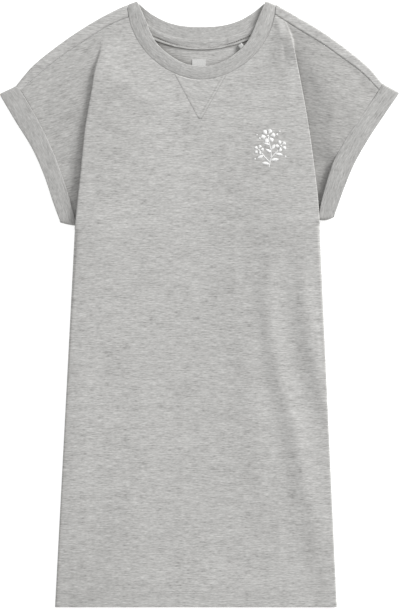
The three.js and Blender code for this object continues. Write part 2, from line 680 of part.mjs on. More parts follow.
// The triangle stitched in below the neckband, lying on the front.
function vInsert(frontRows) {
  const topY = (x) => {
    const across = Math.abs(x - NECK.x) / NECK.halfWidth;
    const down = (1 - across ** NECK.frontPower) ** (1 / NECK.frontPower);
    return NECK.topY - NECK.frontDrop * down - V_INSERT.below;
  };
  const rows = steps(COUNT.insert).map((v) =>
    steps(COUNT.insert).map((u) => {
      const topX = lerp(V_INSERT.leftX, V_INSERT.rightX, u);
      const tipX = V_INSERT.tipX + V_INSERT.tipWidth * (u - 0.5);
      const [x, y] = [lerp(topX, tipX, v), lerp(topY(topX), V_INSERT.tipY, v)];
      return new THREE.Vector3(x, y, heightOn(frontRows, x, y) + HALF + SEAM_GAP + TRIM / 2);
    }),
  );
  return wall(rows, () => [TRIM / 2, TRIM / 2]);
}

// Tape that covers the back neck seam on the inside.
function neckTape() {
  const high = DOUBLE + SEAM_GAP + TRIM / 2;
  const low = CLOTH + SEAM_GAP + TRIM / 2;
  const columns = steps(COUNT.tape).map((t) => NECK.x + TAPE.halfWidth * (2 * t - 1));
  const lowY = (x) => TAPE.lowY + TAPE.bow * (x - NECK.x) ** 2;
  const rows = [
    columns.map((x) => new THREE.Vector3(x, backSeamY(x) + TAPE.over, high)),
    columns.map((x) => new THREE.Vector3(x, backSeamY(x) - TAPE.ledge, high)),
    columns.map((x) => new THREE.Vector3(x, backSeamY(x) - TAPE.ledge - TAPE.slope, low)),
    columns.map((x) => new THREE.Vector3(x, lowY(x), low)),
  ];
  return wall(rows, () => [TRIM / 2, TRIM / 2]);
}

function neckLabel() {
  const z = CLOTH + SEAM_GAP + TRIM / 2;
  const rows = steps(2).map((v) =>
    steps(3).map((u) =>
      new THREE.Vector3(LABEL.x + LABEL.width * (u - 0.5), LABEL.y + LABEL.height * (0.5 - v), z)),
  );
  return wall(rows, () => [TRIM / 2, TRIM / 2]);
}

// A ribbon loop that hangs from the tape, folded flat.
function ribbonLoop() {
  const low = CLOTH + SEAM_GAP + TRIM / 2;
  const angle = THREE.MathUtils.degToRad(-LOOP.angle);
  const along = new THREE.Vector3(Math.cos(angle), Math.sin(angle), 0);
  const across = new THREE.Vector3(-Math.sin(angle), Math.cos(angle), 0);
  const side = [
    [0, 0], [LOOP.length, 0],
    ...steps(COUNT.round).slice(1, -1).map((t) => [
      LOOP.length + LOOP.bend * Math.sin(Math.PI * t), LOOP.bend * (1 - Math.cos(Math.PI * t))]),
    [LOOP.length, 2 * LOOP.bend], [0, 2 * LOOP.bend],
  ];
  const rows = side.map(([far, up]) =>
    [0.5, -0.5].map((s) =>
      new THREE.Vector3(LOOP.x, LOOP.y, low + up)
        .addScaledVector(along, far)
        .addScaledVector(across, s * LOOP.width)),
  );
  return wall(rows, () => [TRIM / 2, TRIM / 2]);
}

const marl = new THREE.MeshStandardMaterial({ color: 0xb9b8b6, roughness: 0.9, metalness: 0 });
const white = new THREE.MeshStandardMaterial({ color: 0xdad9d6, roughness: 0.8, metalness: 0 });

const dress = new THREE.Group();
const add = (name, geometry, material) => {
  const mesh = new THREE.Mesh(geometry, material);
  mesh.name = name;
  dress.add(mesh);
};

const frontRows = frontGrid();
add("front", panel(frontRows), marl.clone());
add("back", panel(backGrid()), marl.clone());
add("neckband", neckband(), marl.clone());
for (const side of SIDES) add(`cuff_${side.name}`, cuff(side), marl.clone());
add("v_insert", vInsert(frontRows), marl.clone());
add("neck_tape", neckTape(), marl.clone());
add("neck_label", neckLabel(), white.clone());
add("ribbon_loop", ribbonLoop(), white.clone());

export default dress;
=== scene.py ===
# T-shirt dress in grey marl sweatshirt jersey, laid flat on a white floor and seen from above.
# Sizes are millimetres until a mesh is made: +X is the viewer's right, +Y runs to the neck, +Z is up.

import math

import bpy
import numpy as np
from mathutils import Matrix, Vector, noise
from mathutils.bvhtree import BVHTree


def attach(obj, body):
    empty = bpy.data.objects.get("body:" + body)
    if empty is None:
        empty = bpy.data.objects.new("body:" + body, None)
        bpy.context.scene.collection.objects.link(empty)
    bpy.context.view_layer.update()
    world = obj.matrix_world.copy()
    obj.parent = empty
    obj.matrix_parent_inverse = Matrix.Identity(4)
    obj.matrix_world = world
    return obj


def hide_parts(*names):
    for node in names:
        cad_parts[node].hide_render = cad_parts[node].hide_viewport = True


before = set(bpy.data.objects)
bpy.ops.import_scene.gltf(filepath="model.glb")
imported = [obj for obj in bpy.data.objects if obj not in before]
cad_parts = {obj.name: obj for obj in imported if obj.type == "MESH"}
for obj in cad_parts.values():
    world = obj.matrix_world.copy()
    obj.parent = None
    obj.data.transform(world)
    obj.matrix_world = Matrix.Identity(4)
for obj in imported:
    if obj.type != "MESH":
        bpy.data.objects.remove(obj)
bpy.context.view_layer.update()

MM = 0.001

# Cloth
CLOTH = 1.2  # wall of the body jersey
HALF = CLOTH / 2
DOUBLE = 2.4  # neckband and cuffs, folded double
TRIM = 1.0  # tape, label, ribbon and V insert
SEAM_GAP = 0.05  # the rounded edges of two pieces nearly touch in a seam
EDGE_STEPS = (0, 0.08, 0.3, 0.65)  # columns of a rounded edge, in shares of half the wall
EDGE_TIP = 0.3  # what is left of the wall at the very edge
RING_SEAM_SHADE = 0.4  # how dark the painted shade along the seam of the neckband or a cuff is
RING_SEAM_SHADE_LINES = 6  # over how many lines of the grid it fades
# over how many lines of the grid the painted shade along a panel's seams fades
PANEL_SEAM_SHADE_LINES = 5

# Heights of the middle of each wall over the surface
BACK_Z = HALF
DOUBLE_BACK_Z = DOUBLE / 2
FLAT_Z = 2.5
CHEST = {"z": 5.8, "y": 120, "ease": 280}  # held up between the pleats, and how it comes down from there
TOP_Z = 4.9
HEM_Z = 4.3
BAND_Z = 5.2
NECK_EASE = 55
EDGE_EASE = 150
RISE_KEPT = 40  # width beside a pleat in which the front keeps the height of its edge
RISE_EASE = 100  # how far below the neckline that height reaches the cloth further in
SETTLE = 0.25
CROWN_FROM = 45  # a sleeve this wide stands at its full height
CUFF_RISE_TO = 0.4  # share of a cuff's length in which its front comes up
CUFF_EASE = {"from": 0.72, "keep": 0.45}  # where it goes down again, and what is left at the underarm
SEAM_FALL = (0.5, 0.2)  # from where, and over what share, a sleeve's edge falls below its cuff
CUFF_TUCK = 1.3  # how far a sleeve's edge slips under its cuff
TUCK_FALL = (0.1, 0.3)  # from where, and over what share, it does so

# Length and hem
HEM_Y = -400
HEM_DEPTH = 22
HEM_RAMP = 3
HEM_EXTRA = 1.0
HEM_TOP = HEM_Y + HEM_DEPTH + 1  # below here the wall has the turned-up cloth on its inside
HEM_EASE = 45

# Neckline
NECK_X = 1.9
NECK_TOP = 392.0
NECK_HALF = 97.3
FRONT_DROP = 95.7
FRONT_POWER = 1.87
BACK_SEAM_DROP = 44.8
BACK_EDGE_TOP = 396
BACK_EDGE_HALF = 82
BACK_EDGE_DROP = 30.1
BACK_POWER = 2.6
BAND_END = 0.5
BAND_WIDTH = 17
BAND_DIP = 0.7  # how far the neckband's front goes down to its seam
BAND_TIP = 0.75  # what is left of its wall at the seam
BAND_CROWN = 0.15  # how much thicker the neckband's front is along its middle
CUFF_CROWN = 0.35
BULGE_FROM = 0.85  # share of a ring's length from which its second end rounds out

# Neck tape: how far over the seam, its half width, its lower edge, and its stitched groove
TAPE_OVER = 2
TAPE_HALF = 86
TAPE_LOW = 335.7
TAPE_BOW = 0.00325
TAPE_LEDGE = 0.8
TAPE_SLOPE = 6.5
TAPE_STITCH = {"up": 2.4, "bow": 0.0006}  # its groove over the lower edge, at the middle and further out
TAPE_SHADE_FROM = 20  # from here out the painted shade in its groove and along its lower edge grows towards the neckband
TAPE_SHADE_OVER = 45
# Painted shade in the tape's groove and along its edge, and painted shadow on the cloth below it: how
# dark, and how far down that reaches:
# at the middle and further out
TAPE_GROOVE_SHADE = (0.5, 2.6)
TAPE_EDGE_SHADE = (0.3, 1.2)
BELOW_TAPE_SHADOW = (0.9, 2.0)
BELOW_TAPE_SHADOW_REACH = (0.6, 2.2)
TAPE_LINE_WIDTH = 0.8
TAPE_GROOVE = {"half": 0.3, "deep": 0.1}

# How far painted shade reaches into the inside of the neck along the neckband's front, and how dark: right
# and left
NECK_PAINTED_SHADE = ((2.6, 0.6), (9.0, 1.2))
BAND_PAINTED_SHADE = ((2.0, 0.1), (6.5, 0.9))
NECK_DARKEST = 1.8
NECK_SHADE_TURN = 35  # how far right and left of the middle the one shade passes into the other
NECK_SHADE_POWER = 1.2

# Pleat from the shoulder to the underarm: cloth in its visible upper bend, at its two ends
HIGH_BEND = (2.6, 3.4)
PLEAT_TUCK = 1

# Side edge
SIDE_SEAM_IN = 9
SIDE_EDGE_LOW = 4.6
SIDE_EDGE_FALL = 90

# Columns and rows of the walls
SLEEVE_COLUMNS = 30
BEND_COLUMNS = 9
UPPER_ROWS = 62
LOWER_ROWS = 118
SHOULDER_COLUMNS = 26
SHOULDER_REACH = 0.4  # how far the folded shoulders reach on under the neckband's bends
SHOULDER_FLAT_COLUMNS = 5
CORNER_COLUMNS = 10
ROLL_COLUMN = 3  # how many columns past the end of the sleeve's shade the pleat's upper bend begins
FLAT_ROWS = 90
BAND_COLUMNS = 96
SEAM_PART_COLUMNS = 9
CUFF_COLUMNS = 60
ACROSS_ROWS = 7
ROUND_STEPS = 12
TAPE_COLUMNS = 90
INSERT_STEPS = 40
UPPER_POWER = 1.15
LOWER_POWER = 1.1
FINE = 600
RIDGE_STEPS = 80

# Side tables give the distance out from the middle line and the height up the dress,
# for the left side and for the right side.
BAND_EDGE = ((83.6, 396.8), (78.9, 387.0), (73.0, 372.6), (66.5, 356.9), (59.0, 344.0),
             (45.9, 331.2), (28.0, 319.7), (13.2, 314.7), (0, 313.6))
SHOULDER_EDGE = (
    (243.4, 287.0, 241.0, 291.0), (220.4, 314.2, 220.4, 314.2), (180.8, 345.8, 180.8, 345.8),
    (149.2, 367.0, 149.2, 367.0), (121.4, 382.8, 121.4, 382.8), (96.8, 394.6, 100.4, 395.0),
)
SHOULDER_SEAM = (
    (236.6, 281.4, 235.9, 282.0), (213.4, 302.3, 213.7, 304.3), (179.1, 329.5, 186.0, 325.0),
    (150.7, 347.7, 161.0, 342.7), (122.8, 365.9, 132.8, 359.8), (94.9, 378.2, 99.2, 381.0),
)
CUFF_SEAM = (
    (243.4, 287.0, 241.0, 291.0), (237.1, 282.0, 236.3, 283.1), (231.1, 272.7, 231.9, 275.9),
    (214.5, 243.7, 207.6, 241.6), (197.3, 209.2, 189.4, 213.3), (183.1, 172.9, 175.3, 187.0),
    (173.1, 142.6, 167.2, 162.8), (166.0, 118.0, 159.1, 132.4), (162.4, 103.0, 155.2, 111.0),
)
CUFF_EDGE = (
    (264.8, 277.2, 263.2, 278.6), (243.8, 241.6, 242.0, 247.6), (221.5, 205.3, 221.8, 217.3),
    (205.4, 169.0, 203.5, 184.9), (193.2, 132.4, 191.2, 156.0), (184.0, 107.5, 176.4, 114.4),
)
PLEAT_EDGE = (
    (126.7, 363.4, 112.2, 373.0), (132.7, 334.6, 120.6, 356.0), (138.6, 314.4, 125.8, 334.6),
    (142.7, 288.0, 132.8, 300.2), (147.8, 260.0, 139.9, 259.8), (151.8, 233.6, 146.0, 219.4),
    (157.9, 169.0, 151.0, 179.0), (161.0, 138.6, 155.1, 142.6), (165.0, 99.0, 157.6, 106.9),
)
# In each side, the sleeve and edge shade values are painted shade: on the whole sleeve, and over the
# pleat's rolled edge.
SIDES = (
    {"name": "left", "sign": -1, "hem_out": 191.4, "turns_from": 0.03, "turned_at": 0.36,
     "tuck": 20, "start": 0, "lean": 16, "bulge": 0.6,
     "cuff_z": 5.0, "cuff_rise": 0, "seam_z": 2.4, "seam_low": 2.4,
     "fold_z": 4.6, "crown": -1.8, "ramp": 30, "low_bend": (1.8, 7.5),
     "sleeve_painted_shade": 0.2, "edge_painted_shade": 0.1},
    {"name": "right", "sign": 1, "hem_out": 180.8, "turns_from": 0, "turned_at": 0.2,
     "tuck": 20, "start": 0.06, "lean": -9, "bulge": 2.4,
     "cuff_z": 5.0, "cuff_rise": 3.2, "seam_z": 8.3, "seam_low": 2.4,
     "fold_z": 1.95, "crown": 8.4, "ramp": 30, "low_bend": (3.4, 11.0),
     "sleeve_painted_shade": 0.42, "edge_painted_shade": 0.5},
)

# Soft ridges and troughs: the places each runs through, its width to half height and its height.
RIDGE_FADE = 0.34  # share of its length in which a ridge rises and fades
BODY_RIDGES = (
    (((136, 92), (139, -8), (155, -87), (173, -170), (178, -215)), 11, 2.0),
    (((96, 110), (90, 0), (103, -87), (125, -166), (139, -246), (166, -338)), 12, 2.2),
    (((52, 60), (62, -80), (76, -190), (96, -330)), 16, 1.1),
    (((-148, 10), (-160, -150), (-172, -330)), 14, 1.0),
    (((-64, -60), (-80, -210), (-98, -360)), 20, 0.7),
)
SLEEVE_RIDGES = (
    (((-205, 262), (-150, 276)), 7, 0.8),
    (((-196, 236), (-152, 246)), 6, -0.6),
    (((-190, 214), (-158, 226)), 7, 0.6),
    (((169, 284), (175, 243), (174, 218), (180, 186)), 7, 0.8),
    (((205, 268), (160, 262)), 8, 0.3),
    (((150, 300), (146, 262)), 7, -0.8),
)
# Painted shade on the front: where, how wide each way, and how dark
PAINTED_SHADES = (
    (-112, 236, 34, 92, 0.25),
    (-140, -370, 70, 80, 0.2),
    (117, 358, 6, 16, 0.6),
    (107, 318, 8, 22, 0.35),
    (146, -322, 12, 26, 0.35),
    (160, -372, 9, 28, 0.25),
)
BACK_FREE = {"above": 60, "over": 90}  # where the back's ridges begin, from above the neckline down
BACK_RIDGES = (
    (((-120, 200), (-150, -120)), 15, 0.35),
    (((90, 120), (128, -250)), 17, 0.4),
    (((-30, -60), (-56, -330)), 18, 0.3),
    (((30, 300), (44, 60)), 14, 0.25),
)
WAVES = {"across": 70, "along": 46, "height": 0.16}  # faint unevenness of the whole cloth

# Small pieces at the neck
V_INSERT = {"left": -34, "right": 35.3, "tip_x": 0.3, "tip_y": 244.5, "tip_width": 5, "below": 0.9}
V_RIDGE = {"width": 5.2, "height": 0.16, "inside": 0.04}
V_SHADE_LINES = ((0.3, 0.25, 0.8), (4.8, 0.15, 0.45))  # lines of painted shade at the feet of the legs' ridges: how far in, how dark on the left leg and on the right leg
V_SHADE_LINE_WIDTH = 0.9
V_WALL = {"lift": 0.1, "outer": 0.02, "inner": 0.08, "lean": -12}
LABEL = {"x": -1.6, "y": 315, "width": 17.8, "height": 16, "half": 0.2, "lift": 0.15,
         "columns": 24, "rows": 22}
LOOP = {"x": 52.2, "y": 342.6, "angle": 53, "width": 6.5, "length": 20, "bend": 0.7,
        "bow": 1.6, "steps": 15, "edge": 0.55}


def lerp(a, b, t):
    return a + (b - a) * t


def smooth(t):
    t = np.clip(t, 0, 1)
    return t * t * (3 - 2 * t)


def bell(far, width):
    return np.exp(-((far / width) ** 2))


def steps(count):
    return np.linspace(0, 1, count + 1)


def to_3d(line, z=0.0):
    """Plan points with a height or heights added."""
    line = np.asarray(line, float)
    return np.column_stack([line[:, 0], line[:, 1], np.broadcast_to(z, len(line))])


def curve_through(points):
    """A fine line through a few points, a centripetal Catmull-Rom curve."""
    points = np.asarray(points, float)
    points = np.vstack([2 * points[0] - points[1], points, 2 * points[-1] - points[-2]])
    spans = np.linalg.norm(np.diff(points, axis=0), axis=1) ** 0.5
    line = []
    for i in range(1, len(points) - 2):
        p0, p1, p2, p3 = points[i - 1:i + 3]
        d0, d1, d2 = spans[i - 1:i + 2]
        m1 = ((p1 - p0) / d0 - (p2 - p0) / (d0 + d1) + (p2 - p1) / d1) * d1
        m2 = ((p2 - p1) / d1 - (p3 - p1) / (d1 + d2) + (p3 - p2) / d2) * d1
        t = np.linspace(0, 1, FINE // 8, endpoint=False)[:, None]
        line.append(p1 + m1 * t + (3 * (p2 - p1) - 2 * m1 - m2) * t**2 + (2 * (p1 - p2) + m1 + m2) * t**3)
    line.append(points[-2:-1])
    return np.vstack(line)


def far_along(line):
    """Distance of each point of a line from its start."""
    lengths = np.linalg.norm(np.diff(line, axis=0), axis=1)
    return np.concatenate([[0], np.cumsum(lengths)])


def at_shares(line, shares):
    """Points at given shares of a line's length."""
    far = far_along(line)
    want = np.asarray(shares) * far[-1]
    return np.column_stack([np.interp(want, far, line[:, k]) for k in range(line.shape[1])])


def shares_of(line):
    far = far_along(line)
    return far / far[-1]


def headings(line):
    way = np.gradient(line[:, :2], axis=0)
    return way / np.linalg.norm(way, axis=1)[:, None]


def shifted(line, distance):
    """A line moved to its right, in plan."""
    way = headings(line)
    moved = line.copy()
    moved[:, 0] += way[:, 1] * distance
    moved[:, 1] -= way[:, 0] * distance
    return moved


def fill(top, bottom, left, right, shares):
    """The rows of a patch between four lines. top and bottom run across, left and right down."""
    v = np.asarray(shares)[:, None, None]
    u = steps(len(top) - 1)[None, :, None]
    rows = top * (1 - v) + bottom * v + left[:, None] * (1 - u) + right[:, None] * u
    rows = rows - top[0] * (1 - u) * (1 - v) - top[-1] * u * (1 - v)
    return rows - bottom[0] * (1 - u) * v - bottom[-1] * u * v


def side_points(rows, side):
    """The points of one side in a side table."""
    first = 0 if side["name"] == "left" else 2
    return [row[first:first + 2] for row in rows]


def side_curve(rows, side):
    return curve_through(side_points(rows, side))


def drawn_out(line, more):
    """A line made a little longer at its end."""
    way = line[-1] - line[-2]
    return np.vstack([line, line[-1] + way / np.linalg.norm(way) * more])


# The neckline and the shoulders

def front_neck(angle):
    power = 2 / FRONT_POWER
    across = np.sign(np.cos(angle)) * np.abs(np.cos(angle)) ** power
    down = np.abs(np.sin(angle)) ** power
    return np.column_stack([NECK_X + NECK_HALF * across, NECK_TOP - FRONT_DROP * down])


def front_neck_angle(y):
    return math.asin(((NECK_TOP - y) / FRONT_DROP) ** (FRONT_POWER / 2))


def below_neck(x, y):
    """How far a point of the front lies below the neckline, as a rough distance."""
    across = np.abs(x - NECK_X) / NECK_HALF
    down = np.maximum(0, NECK_TOP - y) / FRONT_DROP
    return ((across**FRONT_POWER + down**FRONT_POWER) ** (1 / FRONT_POWER) - 1) * FRONT_DROP


def back_seam_y(x):
    share = np.minimum(np.abs((x - NECK_X) / NECK_HALF), 1)
    return NECK_TOP - BACK_SEAM_DROP * (1 - share**BACK_POWER)


def back_edge_y(x):
    share = np.minimum(np.abs((x - NECK_X) / BACK_EDGE_HALF), 1)
    return BACK_EDGE_TOP - BACK_EDGE_DROP * (1 - share**BACK_POWER)


def band_front_seam():
    """The neckband's outer seam on the front, left to right."""
    end = front_neck_angle(NECK_TOP - BAND_END)
    start, stop = (front_neck_angle(side_points(SHOULDER_SEAM, side)[-1][1]) for side in SIDES)
    middle = at_shares(front_neck(lerp(math.pi - start, stop, steps(FINE))), steps(BAND_COLUMNS - 2))
    ends = front_neck(np.array([math.pi - end, end]))
    return np.vstack([ends[:1], middle, ends[1:]])


def band_back_seam():
    x = NECK_X - NECK_HALF * np.cos(np.pi * steps(FINE))
    line = np.column_stack([x, np.minimum(back_seam_y(x), NECK_TOP - BAND_END)])
    return at_shares(line, steps(BAND_COLUMNS))


def seam_y(side, out):
    line = side_curve(SHOULDER_SEAM, side)[::-1]
    return np.interp(out, line[:, 0], line[:, 1])


def upper_shares():
    return steps(UPPER_ROWS) ** UPPER_POWER


def cuff_height(side, share):
    """Height of the cuff's front plate, from its top end to the underarm."""
    down = smooth((share - CUFF_EASE["from"]) / (1 - CUFF_EASE["from"]))
    up = smooth(share / CUFF_RISE_TO) * lerp(1, CUFF_EASE["keep"], down)
    return side["cuff_z"] + side["cuff_rise"] * up


def cuff_line(rows, side):
    """The seam between sleeve and cuff: the cuff's plates between their two bends, and the ends."""
    line = side_curve(rows, side)
    length = far_along(line)[-1]
    first, last = (((cuff_height(side, end) - DOUBLE_BACK_Z) / 2 + DOUBLE / 2) / length for end in (0, 1))
    return at_shares(line, np.concatenate([[0], lerp(first, 1 - last, steps(CUFF_COLUMNS)), [1]]))


def to_plan(side, out, y, z):
    out, y, z = np.broadcast_arrays(out, y, z)
    return np.stack([side["sign"] * out, y, z], axis=-1).astype(float)


# Folds of the cloth

def ridge_height(ridges, x, y):
    """What a list of soft ridges adds at some points."""
    shape = np.shape(x)
    place = np.column_stack([np.ravel(x), np.ravel(y)])
    z = np.zeros(len(place))
    for path, width, height in ridges:
        line = at_shares(curve_through(path), steps(RIDGE_STEPS))
        apart = ((place[:, None] - line[None]) ** 2).sum(axis=-1)
        nearest = apart.argmin(axis=1)
        along = nearest / RIDGE_STEPS
        ends = smooth(np.minimum(along, 1 - along) / RIDGE_FADE)
        z += height * ends * np.exp(-apart.min(axis=1) / width**2 * math.log(2))
    return z.reshape(shape)


def waves(x, y):
    """The faint unevenness of cloth that was smoothed out by hand."""
    flat = np.column_stack([np.ravel(x) / WAVES["across"], np.ravel(y) / WAVES["along"]])
    z = [noise.noise(Vector((a, b, 0.5))) for a, b in flat]
    return WAVES["height"] * np.reshape(z, np.shape(x))


def body_z(x, y):
    """Height of the front away from its edges, as it lies."""
    left, right = (seam_y(side, np.abs(x)) for side in SIDES)
    shoulder = smooth((np.where(x < NECK_X, left, right) - y) / NECK_EASE)
    hem = smooth((HEM_Y + HEM_DEPTH + HEM_EASE - y) / HEM_EASE)
    free = smooth(below_neck(x, y) / NECK_EASE)
    flat = lerp(CHEST["z"], FLAT_Z, smooth((CHEST["y"] - y) / CHEST["ease"]))
    z = lerp(TOP_Z, flat, shoulder * free) + (HEM_Z - FLAT_Z) * hem
    return z + ridge_height(BODY_RIDGES, x, y) + waves(x, y) * shoulder * free


# The front panel

def pleat_path(side, v):
    """The pleat at one height, from the sleeve, up and over, to the start of the body."""
    turned = (v - side["turns_from"]) / (side["turned_at"] - side["turns_from"])
    turn = lerp(side["start"], 1, smooth(turned))
    tuck = lerp(PLEAT_TUCK, side["tuck"], max(0, v - side["turned_at"]) / (1 - side["turned_at"]))
    bends = side["low_bend"], HIGH_BEND
    low, high = (np.full(BEND_COLUMNS, lerp(*bend, v) / BEND_COLUMNS) for bend in bends)
    shares = steps(BEND_COLUMNS)[1:] - 0.5 / BEND_COLUMNS
    length = np.concatenate([low, [tuck / 2, tuck / 2], high])
    angle = np.pi * turn * np.concatenate([shares, [1, 1], shares[::-1]])
    inward = np.concatenate([[0], np.cumsum(length * np.cos(angle))])
    up = np.concatenate([[0], np.cumsum(length * np.sin(angle))])
    edge = inward[BEND_COLUMNS + 1:].min()
    return inward - edge + HALF * turn, up


def front_side(side):
    """The sleeve, the pleat and the start of the body on one side, for the upper rows."""
    shares = upper_shares()
    at = at_shares(side_curve(PLEAT_EDGE, side), shares)
    paths = [pleat_path(side, v) for v in shares]
    inward = np.array([path[0] for path in paths])
    up = np.array([path[1] for path in paths])
    out = at[:, :1] - inward
    slant = (seam_y(side, out) - at[0, 1]) * (1 - shares[:, None]) ** 2
    y = at[:, 1:] + slant
    y[0] -= SEAM_GAP
    start = side_points(SHOULDER_SEAM, side)[0][0]
    seam = cuff_line(CUFF_SEAM, side)
    under = CUFF_TUCK * smooth((shares_of(seam) - TUCK_FALL[0]) / TUCK_FALL[1])
    clear = seam + (shifted(seam, 1) - seam) * (SEAM_GAP - under)[:, None]
    clear = clear[clear[:, 0] < start]
    corner = [[start, float(seam_y(side, start)) - SEAM_GAP]]
    left = at_shares(np.vstack([corner, clear]), shares)
    right = np.column_stack([out[:, 0], y[:, 0]])
    across = lerp(left[0, 0], right[0, 0], steps(SLEEVE_COLUMNS))
    top = np.column_stack([across, seam_y(side, across) - SEAM_GAP])
    bottom = lerp(left[-1], right[-1], steps(SLEEVE_COLUMNS)[:, None])
    plan = fill(top, bottom, left, right, shares)[:, :-1]
    settle = smooth(shares / SETTLE)[:, None]
    u = steps(SLEEVE_COLUMNS)[None, :-1]
    width = (left[:, 0] - right[:, 0])[:, None]
    full = side["crown"] * smooth(width / CROWN_FROM)
    rise = 1 - np.exp(-(1 - u) * width / side["ramp"])
    seam_z = lerp(side["seam_z"], side["seam_low"], smooth((shares - SEAM_FALL[0]) / SEAM_FALL[1]))
    low = lerp(seam_z[:, None], side["fold_z"] + full * rise, smooth(u * width / CROWN_FROM))
    sleeve = to_plan(side, plan[..., 0], plan[..., 1], lerp(TOP_Z, low, settle))
    edge_free = np.sin(np.pi * np.clip(u, 0, 1)) ** 0.5 * settle
    sleeve[..., 2] += ridge_height(SLEEVE_RIDGES, sleeve[..., 0], sleeve[..., 1]) * edge_free
    pleat = to_plan(side, out, y, lerp(TOP_Z, side["fold_z"], settle) + up)
    return np.concatenate([sleeve, pleat], axis=1)


def outline_at(side, w):
    """The outline of the body below the underarm, at shares of its length."""
    start = np.array(side_points(PLEAT_EDGE, side)[-1], float)
    return lerp(start, np.array([side["hem_out"], HEM_Y]), np.asarray(w)[..., None])


def lower_shares(count, power):
    length = outline_at(SIDES[0], 0)[1] - HEM_Y
    hem = 1 - (HEM_DEPTH + HEM_RAMP) / length
    turned = lerp(1 - HEM_DEPTH / length, 1, steps(6))
    return np.concatenate([hem * steps(count)[1:] ** power, turned])


def front_edge(side):
    """The wrapped edge on one side, for every row below the underarm, from the side seam up."""
    rows = []
    length = outline_at(side, 0)[1] - HEM_Y
    underarm = side["fold_z"] + 2 / math.pi * (side["low_bend"][1] + HIGH_BEND[1])
    for i, w in enumerate(lower_shares(LOWER_ROWS, LOWER_POWER)):
        out, y = outline_at(side, w)
        top = lerp(SIDE_EDGE_LOW, underarm, math.exp(-w * length / SIDE_EDGE_FALL))
        radius = (top - BACK_Z) / 2
        angle = np.pi * (1 - steps(BEND_COLUMNS))
        arc = to_plan(side, out - HALF - radius + radius * np.sin(angle), y,
                      BACK_Z + radius * (1 + np.cos(angle)))
        seam_z = BACK_Z + (CLOTH + SEAM_GAP) * math.exp(-i / 2)
        rows.append(np.vstack([to_plan(side, out - SIDE_SEAM_IN, y, seam_z)[None], arc]))
    return np.array(rows)


def lay_body(row):
    """Lays the points of a row between the two pleats or side edges at their heights."""
    first, last = row[0], row[-1]
    rise, rise_to = (p[2] - float(body_z(p[0], p[1])) for p in (first, last))
    inner = row[1:-1].copy()
    x, y = inner[:, 0], inner[:, 1]
    left = rise * (1 - smooth((x - first[0]) / EDGE_EASE))
    right = rise_to * (1 - smooth((last[0] - x) / EDGE_EASE))
    free = smooth(below_neck(x, y) / RISE_EASE)
    near = smooth(np.minimum(x - first[0], last[0] - x) / RISE_KEPT)
    inner[:, 2] = body_z(x, y) + (left + right) * lerp(1, free, near)
    return inner


def front_grid():
    """The rows of the front panel's middle surface."""
    left, right = (front_side(side) for side in SIDES)
    left_start, right_start = left[:, -1], right[:, -1]
    neck = shifted(band_front_seam(), SEAM_GAP)[1:-1]
    neck[[0, -1], 1] -= SEAM_GAP

    def seam_part(side, start, end):
        out = lerp(abs(start[0]), abs(end[0]), steps(SEAM_PART_COLUMNS)[:-1])
        return np.column_stack([side["sign"] * out, seam_y(side, out) - SEAM_GAP])

    top = to_3d(np.vstack([
        seam_part(SIDES[0], left_start[0], neck[0]),
        neck,
        seam_part(SIDES[1], right_start[0], neck[-1])[::-1],
    ]))
    wide = len(top)
    across = steps(wide - 1)[:, None]
    bottom = lerp(left_start[-1], right_start[-1], across)
    plan = fill(top, bottom, left_start, right_start, upper_shares())
    rows = []
    for i, row in enumerate(plan):
        body = lay_body(np.vstack([left_start[i:i + 1], row[1:-1], right_start[i:i + 1]]))
        rows.append(np.vstack([left[i], body, right[i][::-1]]))
    none = np.full((left.shape[1] - BEND_COLUMNS - 2, 3), np.nan)
    for from_edge, to_edge in zip(*(front_edge(side) for side in SIDES), strict=True):
        body = lay_body(lerp(from_edge[-1], to_edge[-1], across))
        rows.append(np.vstack([none, from_edge, body, to_edge[::-1], none]))
    return np.array(rows)


# The back panel

def back_shoulder(side):
    """One folded shoulder of the back panel, from the forward seam over to the flat."""
    seam, edge = (drawn_out(side_curve(rows, side), SHOULDER_REACH)
                  for rows in (SHOULDER_SEAM, SHOULDER_EDGE))
    tip = 1 - HALF / far_along(seam)[-1] * np.array([1, *EDGE_STEPS[::-1]])
    shares = np.concatenate([steps(SHOULDER_COLUMNS)[:-1], tip])
    seam, edge = at_shares(seam, shares), at_shares(edge, shares)
    into = seam - edge
    depth = np.linalg.norm(into, axis=1)[:, None]
    into = into / depth
    radius = (TOP_Z - BACK_Z) / 2
    turn = steps(ROUND_STEPS)[None]
    inward = HALF + radius * (1 - np.sin(np.pi * turn))
    z = BACK_Z + radius * (1 + np.cos(np.pi * turn))
    flat = np.linspace(1, 0, SHOULDER_FLAT_COLUMNS)[None, :-1]
    inward = np.hstack([lerp(inward[:, :1], depth, flat), np.repeat(inward, len(depth), axis=0)])
    z = np.hstack([np.full((len(depth), flat.shape[1]), TOP_Z), np.repeat(z, len(depth), axis=0)])
    return to_plan(side, edge[:, :1] + into[:, :1] * inward, edge[:, 1:] + into[:, 1:] * inward, z)


